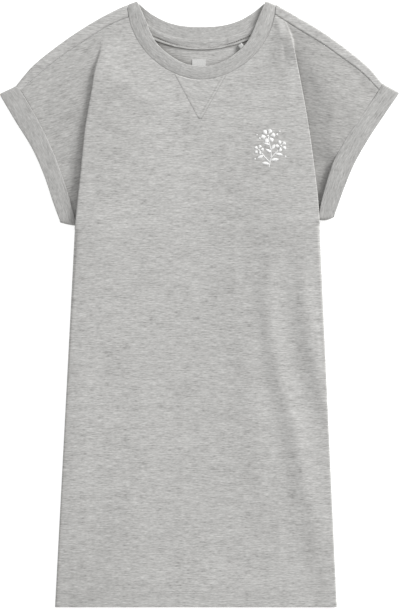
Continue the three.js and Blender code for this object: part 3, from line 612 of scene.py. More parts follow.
def back_grid():
    """The rows of the back panel's middle surface, flat with its shoulders folded over, and how
    much of the wall is left at each point."""
    skip = CORNER_COLUMNS
    inset = SIDE_SEAM_IN + SEAM_GAP
    shoulders = [back_shoulder(side) for side in SIDES]
    neck = to_3d(shifted(band_back_seam(), SEAM_GAP), BACK_Z)
    high = shoulders[0].shape[1]
    blank = np.full_like(neck, np.nan)
    rows = [
        np.vstack([shoulders[0][:, i], neck if i == high - 1 else blank, shoulders[1][::-1, i]])
        for i in range(high)
    ]
    top = rows[-1]
    wide = len(top) - 1
    sides = []
    for k, side in enumerate(SIDES):
        line = shifted(cuff_line(CUFF_SEAM, side), SEAM_GAP)[2:]
        sides.append(np.vstack([top[[-k]], to_plan(side, line[:, 0], line[:, 1], BACK_Z)]))

    def across(w):
        share = (np.arange(wide + 1) - skip) / (wide - 2 * skip)
        a, b = (outline_at(side, w) for side in SIDES)
        return to_3d(np.column_stack([lerp(inset - a[0], b[0] - inset, share),
                                      lerp(a[1], b[1], share)]), BACK_Z)

    bottom = across(0)
    slope = steps(skip)[:-1, None]
    bottom[:skip] = lerp(sides[0][-1], bottom[skip], slope)
    bottom[:wide - skip:-1] = lerp(sides[1][-1], bottom[wide - skip], slope)
    rows.extend(fill(top, bottom, sides[0], sides[1], steps(len(sides[0]) - 1))[1:])
    for w in lower_shares(FLAT_ROWS, 1):
        line = across(w)
        line[:skip] = np.nan
        line[wide - skip + 1:] = np.nan
        rows.append(line)
    rows = np.array(rows)
    keep = np.ones(rows.shape[:2])
    tip = edge_share(np.array([1, *EDGE_STEPS[::-1]]))
    keep[:high - 1, SHOULDER_COLUMNS:SHOULDER_COLUMNS + len(tip)] = tip
    far_end = wide + 1 - SHOULDER_COLUMNS
    keep[:high - 1, far_end - len(tip):far_end] = tip[::-1]
    flat = rows[..., 2] == BACK_Z
    x, y = rows[..., 0], rows[..., 1]
    free = smooth((below_neck(x, y) + BACK_FREE["above"]) / BACK_FREE["over"]) * flat
    rows[..., 2] += np.nan_to_num(ridge_height(BACK_RIDGES, x, y) * free)
    return rows[:, ::-1], keep[:, ::-1]


# Walls

ALL_EDGES = ((0, False), (0, True), (1, False), (1, True))  # the axis and the end of each edge


def edge_lines(rows, axis, end, half):
    """Adds the lines of a rounded edge between the outer two lines of a grid."""
    rows = np.moveaxis(rows, axis, 0)
    if end:
        rows = rows[::-1]
    span = np.nanmean(np.linalg.norm(rows[1] - rows[0], axis=-1))
    lines = [lerp(rows[0], rows[1], min(s * half / span, 0.9)) for s in EDGE_STEPS]
    lines.append(lerp(rows[0], rows[1], min(half / span, 0.95)))
    rows = np.concatenate([np.array(lines), rows[1:]])
    if end:
        rows = rows[::-1]
    return np.moveaxis(rows, 0, axis)


def edged(layers, half, edges=ALL_EDGES):
    """Stacks the layers of a grid and adds the lines of its rounded edges."""
    grid = np.dstack(layers)
    for axis, end in edges:
        grid = edge_lines(grid, axis, end, half)
    return grid


def edge_share(far, tip=EDGE_TIP):
    """How much of the wall is left at a distance from a rounded edge, in shares of half the wall."""
    return lerp(tip, 1, np.sqrt(1 - (1 - far) ** 2))


def edge_profile(count, start, end, start_tip=EDGE_TIP):
    """How much of the wall is left on each line of a grid with rounded edges."""
    far = np.array([*EDGE_STEPS, 1.0])
    share = np.ones(count)
    if start:
        share[:len(far)] = edge_share(far, start_tip)
    if end:
        share[-len(far):] = edge_share(far)[::-1]
    return share


def panel_profile(high, wide):
    """The same for a grid with rounded edges all round."""
    return edge_profile(high, True, True)[:, None] * edge_profile(wide, True, True)[None]


def grid_wall(rows, outer, inner, ring=False):
    """A closed wall round a grid of middle points; NaN points leave their cells out.
    outer and inner are the halves of the wall. Returns points, faces and which grid points it uses."""
    high, wide = rows.shape[:2]
    nxt = np.roll(rows, -1, axis=1)
    good = ~np.isnan(rows[..., 0])
    good = good & np.roll(good, -1, axis=1)
    cell = good[:-1] & good[1:]
    if not ring:
        cell[:, -1] = False
    a, b, c, d = rows[:-1], rows[1:], nxt[1:], nxt[:-1]
    normal = np.where(cell[..., None], np.cross(c - a, d - b), 0)
    total = np.zeros_like(rows)
    for part in (normal, np.roll(normal, 1, axis=1)):
        total[:-1] += part
        total[1:] += part
    used = np.linalg.norm(total, axis=-1) > 0
    total[used] /= np.linalg.norm(total[used], axis=-1)[:, None]
    count = int(used.sum())
    index = np.full((high, wide), -1)
    index[used] = np.arange(count)
    middle = rows[used]
    out, into = (total[used] * np.broadcast_to(half, (high, wide))[used][:, None]
                 for half in (outer, inner))
    where = np.argwhere(cell)
    i, j = where[:, 0], where[:, 1]
    k = (j + 1) % wide
    quads = np.column_stack([index[i, j], index[i + 1, j], index[i + 1, k], index[i, k]])
    edges = {}
    for quad in quads.tolist():
        for at in range(4):
            pair = (quad[at], quad[(at + 1) % 4])
            if pair[::-1] in edges:
                del edges[pair[::-1]]
            else:
                edges[pair] = True
    rim = [(p, p + count, q + count, q) for p, q in edges]
    faces = np.vstack([quads, quads[:, ::-1] + count, np.array(rim)])
    return np.vstack([middle + out, middle - into]), faces, used


def placed(name, data):
    thing = bpy.data.objects.new(name, data)
    bpy.context.collection.objects.link(thing)
    return thing


def make_mesh(name, points, faces, material, slot="marl_jersey", **layers):
    """A smooth mesh object in metres. Layers are values or vectors at its points."""
    mesh = bpy.data.meshes.new(name)
    mesh.from_pydata((np.asarray(points) * MM).tolist(), [], [list(map(int, f)) for f in faces])
    mesh.polygons.foreach_set("use_smooth", np.ones(len(mesh.polygons), bool))
    for layer, values in layers.items():
        values = np.asarray(values, np.float32)
        vector = values.ndim == 2
        data = mesh.attributes.new(layer, "FLOAT_VECTOR" if vector else "FLOAT", "POINT")
        data.data.foreach_set("vector" if vector else "value", values.ravel())
    mesh.materials.append(material)
    mesh.validate()
    thing = placed(name, mesh)
    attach(thing, "root")
    return thing


def cloth_piece(name, rows, outer, inner, grain, seam, material, ring=False):
    """A cloth wall with its grain's place and its painted shade, which goes into the layer "seam"."""
    points, faces, used = grid_wall(rows, outer, inner, ring)
    layers = {"grain": np.dstack([grain, np.zeros(grain.shape[:2])]),
              "seam": np.broadcast_to(seam, used.shape)}
    layers = {layer: np.concatenate([values[used], values[used]]) for layer, values in layers.items()}
    return make_mesh(name, points, faces, material, **layers)


def near_line(count, start, end, reach):
    """A value that is 1 at an edge of a grid and fades over a few of its lines."""
    near = np.zeros(count)
    fade = 1 - smooth(np.arange(reach + 1) / reach)
    if start:
        near[:reach + 1] = fade
    if end:
        near[-reach - 1:] = np.maximum(near[-reach - 1:], fade[::-1])
    return near


def turned(x, y, degrees):
    """Plan places in a grain that is turned by an angle."""
    angle = math.radians(degrees)
    return np.stack([x * math.cos(angle) + y * math.sin(angle),
                     y * math.cos(angle) - x * math.sin(angle)], axis=-1)


# Materials

def set_sockets(node, values):
    for name, value in values.items():
        node.inputs[name].default_value = value


def new_material(name, roughness, sheen):
    material = bpy.data.materials.new(name)
    material.use_nodes = True
    shader = material.node_tree.nodes["Principled BSDF"]
    set_sockets(shader, {"Roughness": roughness, "Specular IOR Level": 0.25,
                         "Sheen Weight": sheen, "Sheen Roughness": 0.5})
    return material, shader


class Nodes:
    """Short calls for the nodes of a material."""

    def __init__(self, material):
        self.tree = material.node_tree

    def add(self, kind, **values):
        node = self.tree.nodes.new("ShaderNode" + kind)
        for key, value in values.items():
            setattr(node, key, value)
        return node

    def link(self, source, target):
        self.tree.links.new(source, target)

    def math(self, operation, a, b=None, c=None, clamp=False):
        node = self.add("Math", operation=operation, use_clamp=clamp)
        for socket, value in zip(node.inputs, (a, b, c)):
            if value is None:
                continue
            if isinstance(value, (int, float)):
                socket.default_value = value
            else:
                self.link(value, socket)
        return node.outputs[0]

    def attribute(self, name):
        return self.add("Attribute", attribute_name=name)

    def mapped(self, vector, size, move=(0, 0, 0), turn=0.0):
        node = self.add("Mapping", vector_type="TEXTURE")
        set_sockets(node, {"Location": move, "Rotation": (0, 0, turn), "Scale": (*size, 1)})
        self.link(vector, node.inputs["Vector"])
        return node.outputs[0]

    def noise(self, vector, detail=2.0, roughness=0.5, scale=1.0):
        node = self.add("TexNoise", noise_dimensions="2D")
        set_sockets(node, {"Scale": scale, "Detail": detail, "Roughness": roughness})
        self.link(vector, node.inputs["Vector"])
        return node.outputs["Fac"]

    def spread(self, value, low, high, to_low, to_high):
        node = self.add("MapRange")
        for socket, number in zip(node.inputs[1:5], (low, high, to_low, to_high)):
            socket.default_value = number
        self.link(value, node.inputs[0])
        return node.outputs[0]

    def bump(self, height, strength, distance):
        node = self.add("Bump")
        set_sockets(node, {"Strength": strength, "Distance": distance * MM})
        self.link(height, node.inputs["Height"])
        return node.outputs[0]

    def ramp(self, value, stops):
        node = self.add("ValToRGB")
        while len(node.color_ramp.elements) < len(stops):
            node.color_ramp.elements.new(0.5)
        for element, (place, colour) in zip(node.color_ramp.elements, stops):
            element.position = place
            element.color = (*colour, 1)
        self.link(value, node.inputs["Fac"])
        return node.outputs["Color"]


MARL_MIDDLE = 0.585  # the value of the mixed noise that gives the middle grey, and how far it reaches
MARL_REACH = 0.25
MARL_GREYS = (
    (0.0, (0.285, 0.280, 0.272)),
    (0.32, (0.420, 0.416, 0.406)),
    (0.62, (0.500, 0.496, 0.484)),
    (1.0, (0.610, 0.606, 0.592)),
)
PAINTED_SHADE_MIX = 0.55  # how strongly the painted shade in the layer "seam" darkens the marl, and with what colour
PAINTED_SHADE_COLOUR = (0.36, 0.35, 0.34, 1)


def marl(name, length, contrast, tint=1.0):
    """Heather grey jersey: dark and light fibres in short streaks along the courses of the knit."""
    material, shader = new_material(name, 0.92, 0.12)
    nodes = Nodes(material)
    grain = nodes.attribute("grain").outputs["Vector"]
    streak = nodes.noise(nodes.mapped(grain, (length, 1.5)), detail=2.5)
    fine = nodes.noise(nodes.mapped(grain, (0.36 * length, 0.9), move=(31, 17, 0), turn=0.05), detail=1.0)
    broad = nodes.noise(nodes.mapped(grain, (48, 9), move=(7, 3, 0)), detail=1.0)
    cloud = nodes.noise(nodes.mapped(grain, (90, 60), move=(3, 9, 0)), detail=1.0)
    mix = nodes.math("MULTIPLY", fine, 0.38)
    for layer, share in ((streak, 0.58), (broad, 0.17), (cloud, 0.04)):
        mix = nodes.math("MULTIPLY_ADD", layer, share, mix)
    low, high = (MARL_MIDDLE + sign * MARL_REACH / contrast for sign in (-1, 1))
    value = nodes.spread(mix, low, high, 0.02, 1.02)
    colour = nodes.ramp(value, [(place, [tint * part for part in parts]) for place, parts in MARL_GREYS])
    # the layer "seam" holds painted shade, which darkens the marl here
    seam = nodes.attribute("seam").outputs["Fac"]
    shade = nodes.add("MixRGB", blend_type="MULTIPLY")
    nodes.link(nodes.math("MULTIPLY", seam, PAINTED_SHADE_MIX, clamp=True), shade.inputs["Fac"])
    nodes.link(colour, shade.inputs["Color1"])
    shade.inputs["Color2"].default_value = PAINTED_SHADE_COLOUR
    nodes.link(shade.outputs[0], shader.inputs["Base Color"])
    nodes.link(knit_bump(nodes, grain, streak), shader.inputs["Normal"])
    return material


def knit_bump(nodes, grain, streak, wale=1.15, course=0.95, strength=0.35):
    """The small V stitches of a jersey, with the fluff of its yarn."""
    parts = nodes.add("SeparateXYZ")
    nodes.link(grain, parts.inputs[0])
    x = nodes.math("MULTIPLY", parts.outputs[0], 2 * math.pi / wale)
    y = nodes.math("MULTIPLY", parts.outputs[1], 2 * math.pi / course)
    half_wale = nodes.math("SINE", nodes.math("MULTIPLY", x, 0.5))
    lean = nodes.math("MULTIPLY", nodes.math("ABSOLUTE", half_wale), 1.6)
    legs = nodes.math("SINE", nodes.math("ADD", y, lean))
    wales = nodes.math("COSINE", x)
    height = nodes.math("MULTIPLY_ADD", legs, 0.3, nodes.math("MULTIPLY", wales, 0.3))
    height = nodes.math("MULTIPLY_ADD", streak, 1.2, height)
    return nodes.bump(height, strength, 0.12)


def plain_fabric(name, light, dark, rib, sheen=0.1):
    """A plain woven or printed finish with a fine rib."""
    material, shader = new_material(name, 0.7, sheen)
    nodes = Nodes(material)
    place = nodes.add("TexCoord").outputs["Object"]
    spot = nodes.noise(place, detail=3.0, scale=700)
    nodes.link(nodes.ramp(spot, ((0.3, dark), (0.7, light))), shader.inputs["Base Color"])
    wave = nodes.add("TexWave", wave_type="BANDS", bands_direction="DIAGONAL")
    wave.inputs["Scale"].default_value = rib
    nodes.link(place, wave.inputs["Vector"])
    nodes.link(nodes.bump(wave.outputs["Fac"], 0.25, 0.05), shader.inputs["Normal"])
    return material


MARL = marl("marl_jersey", 11.5, 1.13, 1.02)
MARL_BAND = marl("marl_band", 9.0, 0.95, 0.93)
MARL_CUFF = marl("marl_cuff", 11.0, 1.0, 0.9)
LABEL_WHITE = plain_fabric("label_white", (0.63, 0.63, 0.62), (0.56, 0.56, 0.55), 900)
RIBBON = plain_fabric("ribbon_grey", (0.55, 0.55, 0.54), (0.46, 0.46, 0.45), 1400, sheen=0.3)
THREAD = plain_fabric("thread_grey", (0.52, 0.515, 0.505), (0.44, 0.435, 0.425), 2600)
INK = plain_fabric("print_white", (0.90, 0.90, 0.895), (0.80, 0.80, 0.79), 400, sheen=0.0)


# Pieces

def front_painted_shade(rows, high, wide):
    """Painted shade on the front: how much darker the cloth is painted on the sleeves, over the pleats'
    rolled edges and in a few soft places.
    """
    shade = np.zeros((high, wide))
    for x, y, wide_x, wide_y, amount in PAINTED_SHADES:
        shade += amount * np.exp(-((rows[..., 0] - x) / wide_x) ** 2 - ((rows[..., 1] - y) / wide_y) ** 2)
    shade = np.nan_to_num(shade)
    sleeve_end = SLEEVE_COLUMNS + BEND_COLUMNS + len(EDGE_STEPS)
    roll_start = sleeve_end + ROLL_COLUMN
    upper = np.arange(high)[:, None] < UPPER_ROWS + len(EDGE_STEPS)
    for side in SIDES:
        sleeve, roll = np.zeros(wide), np.zeros(wide)
        sleeve[:sleeve_end] = side["sleeve_painted_shade"]
        roll[roll_start:roll_start + BEND_COLUMNS] = np.cos(np.pi / 2 * steps(BEND_COLUMNS)[:-1]) ** 0.5
        if side["sign"] > 0:
            sleeve, roll = sleeve[::-1], roll[::-1]
        shade = np.maximum(shade * (1 - upper * (sleeve > 0)), upper * sleeve)
        shade = shade + side["edge_painted_shade"] * roll
    return shade


def front_cloth():
    rows = front_grid()
    wide = rows.shape[1]
    column = np.arange(wide)
    to_body = SLEEVE_COLUMNS + BEND_COLUMNS
    body = (column >= to_body) & (column < wide - to_body)
    grain = turned(rows[..., 0], rows[..., 1], 0)
    for side, columns in zip(SIDES, (column < wide / 2, column > wide / 2)):
        pick = columns & ~body
        grain[:, pick] = turned(rows[:, pick, 0], rows[:, pick, 1], side["lean"])
    grid = edged([rows, grain], HALF)
    rows, grain = grid[..., :3], grid[..., 3:]
    high, wide = rows.shape[:2]
    keep = panel_profile(high, wide)
    # painted shade along the panel's seams, and the front's other painted shade
    seam = np.maximum(near_line(high, True, False, PANEL_SEAM_SHADE_LINES)[:, None],
                      near_line(wide, True, True, PANEL_SEAM_SHADE_LINES)[None])
    seam = np.maximum(seam, front_painted_shade(rows, high, wide))
    inner = HALF * keep
    inner = inner + HEM_EXTRA * (rows[..., 1] < HEM_TOP) * edge_profile(high, False, True)[:, None]
    return cloth_piece("front_cloth", rows, HALF * keep, inner, grain, seam, MARL)


def painted_neck_shade(x, y, right, left):
    """Painted shade on the inside of the neck along the neckband's front: how far in and how dark."""
    inside = -below_neck(x, y) - BAND_WIDTH
    lefter = smooth((NECK_SHADE_TURN - x) / (2 * NECK_SHADE_TURN))
    reach, depth = (lerp(a, b, lefter) for a, b in zip(right, left))
    fade = np.exp(-((np.maximum(inside, 0) / reach) ** NECK_SHADE_POWER))
    return depth * fade * (inside > -BAND_WIDTH / 2)


def tape_far_out(x):
    """0 at the middle of the tape and 1 where the painted shade of its lines is darkest."""
    return smooth((np.abs(x - NECK_X) - TAPE_SHADE_FROM) / TAPE_SHADE_OVER)


def back_cloth():
    rows, keep = back_grid()
    grain = turned(rows[..., 0], rows[..., 1], 0)
    grid = edged([rows, grain, keep], HALF, ALL_EDGES[1:])
    rows, grain, keep = grid[..., :3], grid[..., 3:5], grid[..., 5]
    high = len(rows)
    keep = np.nan_to_num(keep) * edge_profile(high, False, True)[:, None]
    inner = HALF * keep + HEM_EXTRA * (rows[..., 1] < HEM_TOP) * keep
    x, y = rows[..., 0], rows[..., 1]
    # painted shadow on the cloth just below the tape's lower edge, wider and darker towards the ends
    below_tape = tape_low_y(x) - y
    far_out = tape_far_out(x)
    reach = lerp(*BELOW_TAPE_SHADOW_REACH, far_out)
    line = lerp(*BELOW_TAPE_SHADOW, far_out) * np.exp(-np.maximum(below_tape, 0) / reach)
    # painted shade inside the neck along the neckband's front, and the painted shadow below the tape
    shade = painted_neck_shade(x, y, *NECK_PAINTED_SHADE) + line * (np.abs(x - NECK_X) < TAPE_HALF)
    inside = (y < TAPE_LOW + BAND_WIDTH) & (rows[..., 2] < BACK_Z + TRIM)
    shade = np.minimum(np.nan_to_num(shade), NECK_DARKEST) * inside
    return cloth_piece("back_cloth", rows, HALF * keep, inner, grain, shade, MARL)


def flat_ring(front, over_z, back, under_z, bulge=0, dip=0):
    """The rows of a flattened ring: a front and a back plate, joined by a bend at each end.
    front and back are an outer and an inner line in plan, over_z the heights along the front.
    bulge rounds out the second end, dip lowers the front towards its first line."""
    turn = steps(ROUND_STEPS)[1:-1]
    over_z = np.broadcast_to(over_z, len(front[0]))

    def bend(start, end, way):
        radius = abs(end[2] - start[2]) / 2
        points = lerp(start, end, ((1 - np.cos(np.pi * turn)) / 2)[:, None])
        points[:, :2] += np.outer(radius * np.sin(np.pi * turn), way)
        return points

    rows = []
    for share in steps(ACROSS_ROWS):
        over = to_3d(lerp(front[0], front[1], share), over_z - dip * (1 - smooth(2 * share)))
        under = to_3d(lerp(back[0], back[1], share), under_z)[::-1]
        way = headings(over)
        near_end = smooth((shares_of(over) - BULGE_FROM) / (1 - BULGE_FROM))
        push = bulge * math.sin(math.pi * share) * near_end
        over[:, :2] += way[-1] * push[:, None]
        under[:, :2] += way[-1] * push[::-1, None]
        rows.append(np.vstack([over, bend(over[-1], under[0], way[-1]),
                               under, bend(under[-1], over[0], -way[0])]))
    return np.array(rows)


def ring_piece(name, rows, crown, material, tip=EDGE_TIP, painted_shade=None):
    """A flattened ring of double cloth. Its first row is the seam, its last row the fold."""
    middle = rows[len(rows) // 2]
    along = far_along(middle)[None] * np.ones((len(rows), 1))
    width = np.linalg.norm(rows[-1] - rows[0], axis=-1)[None]
    across = steps(len(rows) - 1)[:, None] * width
    grid = edged([rows, along, across], DOUBLE / 2, ALL_EDGES[:2])
    rows, grain = grid[..., :3], grid[..., 3:]
    high = len(rows)
    half = DOUBLE / 2 * edge_profile(high, True, True, tip)[:, None]
    puff = crown * np.sin(np.pi * np.clip(grain[..., 1] / width, 0, 1))
    upper = rows[..., 2] > DOUBLE_BACK_Z + TRIM
    # painted shade along the ring's seam; for the neckband also painted shade on its back plate inside the
    # neck
    seam = RING_SEAM_SHADE * near_line(high, True, False, RING_SEAM_SHADE_LINES)[:, None]
    if painted_shade:
        seam = np.maximum(seam, painted_neck_shade(rows[..., 0], rows[..., 1], *painted_shade) * ~upper)
    return cloth_piece(name, rows, half + puff * upper, half, grain, seam, material, ring=True)


def neckband():
    points = [(NECK_X - out, y) for out, y in BAND_EDGE]
    points += [(NECK_X + out, y) for out, y in BAND_EDGE[-2::-1]]
    front_edge_line = curve_through(points)
    x = NECK_X - BAND_EDGE[0][0] * np.cos(np.pi * steps(FINE))
    back_edge_line = np.column_stack([x, back_edge_y(x)])
    front_seam, back_seam = band_front_seam(), band_back_seam()
    over = front_seam, at_shares(front_edge_line, shares_of(front_seam))
    under = back_seam, at_shares(back_edge_line, shares_of(back_seam))
    rows = flat_ring(over, BAND_Z, under, DOUBLE_BACK_Z, dip=BAND_DIP)
    return ring_piece("neckband_cloth", rows, BAND_CROWN, MARL_BAND, BAND_TIP, BAND_PAINTED_SHADE)


def cuff(side):
    plate = [cuff_line(rows, side)[1:-1] * np.array([side["sign"], 1]) for rows in (CUFF_SEAM, CUFF_EDGE)]
    high = cuff_height(side, shares_of(plate[0]))
    rows = flat_ring(plate, high, plate, DOUBLE_BACK_Z, side["bulge"])
    if side["sign"] < 0:
        rows = rows[:, ::-1]
    return ring_piece(f"cuff_{side['name']}_cloth", rows, CUFF_CROWN, MARL_CUFF)


class Surface:
    """Heights on a piece that others lie on."""

    def __init__(self, thing):
        points = [v.co for v in thing.data.vertices]
        self.tree = BVHTree.FromPolygons(points, [f.vertices for f in thing.data.polygons])

    def height(self, x, y, miss=FLAT_Z):
        hit = self.tree.ray_cast(Vector((x * MM, y * MM, 1)), Vector((0, 0, -1)))[0]
        return hit.z / MM if hit else miss

    def lay(self, x, y, lift=0.0):
        return np.array([[[a, b, self.height(a, b) + lift] for a, b in zip(*row)]
                         for row in zip(x, y)])


def v_insert(under):
    """The triangle stitched in below the neckband: nearly flush, with a ridge along its two legs."""
    u = (1 - np.cos(np.pi * steps(INSERT_STEPS))) / 2
    v = steps(INSERT_STEPS)[:, None]
    top_x = lerp(V_INSERT["left"], V_INSERT["right"], u)[None]
    across = np.abs(top_x - NECK_X) / NECK_HALF
    top_y = NECK_TOP - FRONT_DROP * (1 - across**FRONT_POWER) ** (1 / FRONT_POWER) - V_INSERT["below"]
    tip_x = V_INSERT["tip_x"] + V_INSERT["tip_width"] * (u[None] - 0.5)
    x = lerp(top_x, tip_x, v)
    y = lerp(top_y, V_INSERT["tip_y"], v)
    rows = under.lay(x, y, V_WALL["lift"])
    drop = top_y[0, 0] - V_INSERT["tip_y"]
    slant = drop / math.hypot(drop, V_INSERT["tip_x"] - V_INSERT["left"])
    edge = np.minimum(x - x[:, :1], x[:, -1:] - x) * slant
    ridge = 1 - smooth(np.abs(edge / (V_RIDGE["width"] / 2) - 1) * 2 - 1)
    inside = V_RIDGE["inside"] * smooth(edge / V_RIDGE["width"])
    outer = inside + V_RIDGE["height"] * ridge + V_WALL["outer"]
    inner = np.full_like(outer, V_WALL["inner"])
    grain = turned(x, y, V_WALL["lean"])
    right = x - x[:, :1] > x[:, -1:] - x
    # painted shade lines at the feet of the ridges
    seam = sum(np.where(right, on_right, on_left) * bell(edge - far, V_SHADE_LINE_WIDTH)
               for far, on_left, on_right in V_SHADE_LINES)
    return cloth_piece("v_insert_cloth", rows, outer, inner, grain, seam, MARL)


def tape_low_y(x):
    return TAPE_LOW + TAPE_BOW * (x - NECK_X) ** 2


def tape_stitch_up(x):
    return TAPE_STITCH["up"] + TAPE_STITCH["bow"] * (x - NECK_X) ** 2


def neck_tape():
    """Tape over the inside back neck seam: a ledge on the seam, a stitched groove, a raised edge."""
    high = DOUBLE + SEAM_GAP + TRIM / 2
    low = CLOTH + SEAM_GAP + TRIM / 2
    x = NECK_X + TAPE_HALF * (2 * steps(TAPE_COLUMNS) - 1)
    seam = back_seam_y(x)
    low_y = tape_low_y(x)
    foot = seam - TAPE_LEDGE - TAPE_SLOPE
    lines = [(seam + TAPE_OVER, high), (seam + TAPE_OVER / 2, high), (seam - TAPE_LEDGE, high)]
    for share in (0.2, 0.4, 0.6, 0.8, 1.0):
        lines.append((lerp(seam - TAPE_LEDGE, foot, share), lerp(high, low, smooth(share * 0.9 + 0.05))))
    groove = low_y + tape_stitch_up(x)
    for off in (TAPE_GROOVE["half"], -TAPE_GROOVE["half"]):
        lines.append((groove + off, low - TAPE_GROOVE["deep"]))
    for share in (0.35, 0.7, 1.0):
        lines.append((lerp(groove, low_y, share), low))
    rows = np.array([np.column_stack([x, y, np.full(len(x), z)]) for y, z in lines])
    across = np.array([y - low_y for y, _ in lines])
    along = np.broadcast_to(far_along(rows[0])[None], across.shape)
    grid = edged([rows, along, across], TRIM / 2, ALL_EDGES[:2])
    rows, grain = grid[..., :3], grid[..., 3:]
    half = TRIM / 2 * edge_profile(len(rows), True, True)[:, None]
    x, up = rows[..., 0], grain[..., 1]
    stitched = bell(up - tape_stitch_up(x), TAPE_LINE_WIDTH)
    edge = bell(up, TAPE_LINE_WIDTH)
    far_out = tape_far_out(x)
    # painted shade in the groove and along the lower edge, darker towards the ends
    seam = stitched * lerp(*TAPE_GROOVE_SHADE, far_out) + edge * lerp(*TAPE_EDGE_SHADE, far_out)
    return cloth_piece("neck_tape_cloth", rows, half, half, grain, seam, MARL)


def neck_label():
    """A bare woven label, its corners a little lifted."""
    low = CLOTH + SEAM_GAP + LABEL["half"]
    u, v = np.meshgrid(2 * steps(LABEL["columns"]) - 1, 2 * steps(LABEL["rows"]) - 1)
    x = LABEL["x"] + LABEL["width"] / 2 * u
    y = LABEL["y"] - LABEL["height"] / 2 * v
    z = low + LABEL["lift"] * np.abs(u * v) ** 3
    rows = edged([x, y, z], LABEL["half"])
    high, wide = rows.shape[:2]
    keep = panel_profile(high, wide)
    half = LABEL["half"] * keep
    points, faces, _ = grid_wall(rows, half, half)
    return make_mesh("neck_label_cloth", points, faces, LABEL_WHITE, slot="white_trim")


def ribbon_loop():
    """A ribbon loop that hangs from the tape, folded flat."""
    low = CLOTH + SEAM_GAP + TRIM / 2
    angle = math.radians(-LOOP["angle"])
    along = np.array([math.cos(angle), math.sin(angle), 0])
    across = np.array([-math.sin(angle), math.cos(angle), 0])
    turn = np.pi * steps(ROUND_STEPS)
    length, bend, count = LOOP["length"], LOOP["bend"], LOOP["steps"]
    out = np.linspace(0, length, count + 1)
    far = np.concatenate([out[:-1], length + bend * np.sin(turn), out[::-1][1:]])
    up = np.concatenate([np.zeros(count), bend * (1 - np.cos(turn)), np.full(count, 2 * bend)])
    bow = LOOP["bow"] * np.sin(np.pi * np.clip(far / length, 0, 1)) * up / (2 * bend)
    place = np.array([LOOP["x"], LOOP["y"], low])
    rows = np.array([
        place + along * f + across * s * LOOP["width"] + np.array([0, 0, h])
        for f, h in zip(far, up + bow) for s in (0.5, 0.25, 0, -0.25, -0.5)
    ]).reshape(len(far), 5, 3)
    half = np.full(rows.shape[:2], TRIM / 2) * np.array([LOOP["edge"], 1, 1, 1, LOOP["edge"]])
    points, faces, _ = grid_wall(rows, half, half)
    return make_mesh("ribbon_loop_cloth", points, faces, RIBBON, slot="white_trim")


STITCH = {"pitch": 3.2, "length": 2.7, "radius": 0.2, "sink": 0.25, "rounds": 6, "sides": 6}
STITCH_END = 0.4  # how thick a stitch is at its ends, as a share of its middle


def stitch_row(line, under):
    """Stitches along a plan line on a surface: short threads whose ends dip into the cloth."""
    line = np.asarray(line, float)
    pitch, length, radius, sink, rounds, sides = STITCH.values()
    reach = far_along(line)[-1]
    arch = np.sin(np.pi * steps(rounds))
    points = []
    faces = []
    for k in range(int(reach / pitch)):
        share = ((k + 0.5) * pitch + length * (steps(rounds) - 0.5)) / reach
        spine = at_shares(line, np.clip(share, 0, 1))
        way = spine[-1] - spine[0]
        way = way / np.linalg.norm(way)
        base = len(points)
        for (x, y), rise in zip(spine, arch):
            z = under.height(x, y) - sink + (radius + sink) * rise
            thick = STITCH_END + (1 - STITCH_END) * rise
            for a in 2 * math.pi * np.arange(sides) / sides:
                side = radius * math.cos(a) * thick
                points.append((x - way[1] * side, y + way[0] * side, z + radius * math.sin(a) * thick))
        for i in range(rounds):
            for j in range(sides):
                a = base + i * sides + j
                b = base + i * sides + (j + 1) % sides
                faces.append((a, b, b + sides, a + sides))
        faces.append(tuple(range(base + sides - 1, base - 1, -1)))
        faces.append(tuple(range(base + rounds * sides, base + (rounds + 1) * sides)))
    return points, faces


def joined(parts):
    """The points and faces of several parts as those of one mesh."""
    points = []
    faces = []
    for more, around in parts:
        faces += [tuple(len(points) + i for i in face) for face in around]
        points += list(more)
    return points, faces


def stitches(name, lines, under):
    return make_mesh(name, *joined(stitch_row(line, under) for line in lines), THREAD)


# The chest print, a flowering sprig in white ink. Places are from the middle of the print.
PRINT_X = 92.5
PRINT_Y = 206
INK_LIFT = 0.06
INK_OUTER = 0.02
INK_INNER = 0.04
STEM_HALF = 0.55
BLOSSOMS = ((-3, 15, 9.5, 6, 10), (14, 2, 7.5, 5, 40), (-15, -3, 6.5, 5, 75))
STEMS = (
    ((-3, 15), (-1, 4), (1, -8), (-2, -27)),
    ((14, 2), (9, -5), (4, -10), (0.5, -14)),
    ((-15, -3), (-10, -9), (-5, -15), (-0.8, -19)),
)
LEAVES = (
    (0.6, -3, 50, 9, 4.2), (1.4, -7, 148, 9, 4.0), (6.5, -8.5, -8, 10, 4.2), (0.2, -17, 8, 11, 4.6),
    (-9, -10.5, 205, 9, 4.0), (-1.2, -22, 170, 10, 4.4), (-1, 3.5, 165, 7.5, 3.4), (11, -2.5, 60, 6, 2.8),
)
BUDS = ((9, 17, 1.5), (12.5, 21, 1.1), (-14, 12, 1.4), (-17.5, 16.5, 1.0), (20, -12, 1.2), (-20, -15, 1.1))


def ink_strip(centre, half_width):
    """A strip of ink along a line: three points across at every step."""
    way = headings(centre)
    side = np.column_stack([-way[:, 1], way[:, 0]]) * half_width[:, None]
    return np.stack([centre + side, centre, centre - side], axis=1)


def ink_leaf(x, y, degrees, length, width, notch=0.0):
    t = steps(12)
    angle = math.radians(degrees)
    centre = np.column_stack([x + math.cos(angle) * length * t, y + math.sin(angle) * length * t])
    shape = np.sin(np.pi * t ** (1 - notch)) ** 0.8
    return ink_strip(centre, np.maximum(width / 2 * shape, 0.05))


def ink_wall(strip, under):
    """A strip of ink laid on the cloth, turned so that its face is up."""
    rows = under.lay(PRINT_X + strip[..., 0], PRINT_Y + strip[..., 1], INK_LIFT)
    if np.cross(rows[1, 0] - rows[0, 0], rows[0, 1] - rows[0, 0])[2] > 0:
        rows = rows[:, ::-1]
    return grid_wall(rows, INK_OUTER, INK_INNER)[:2]


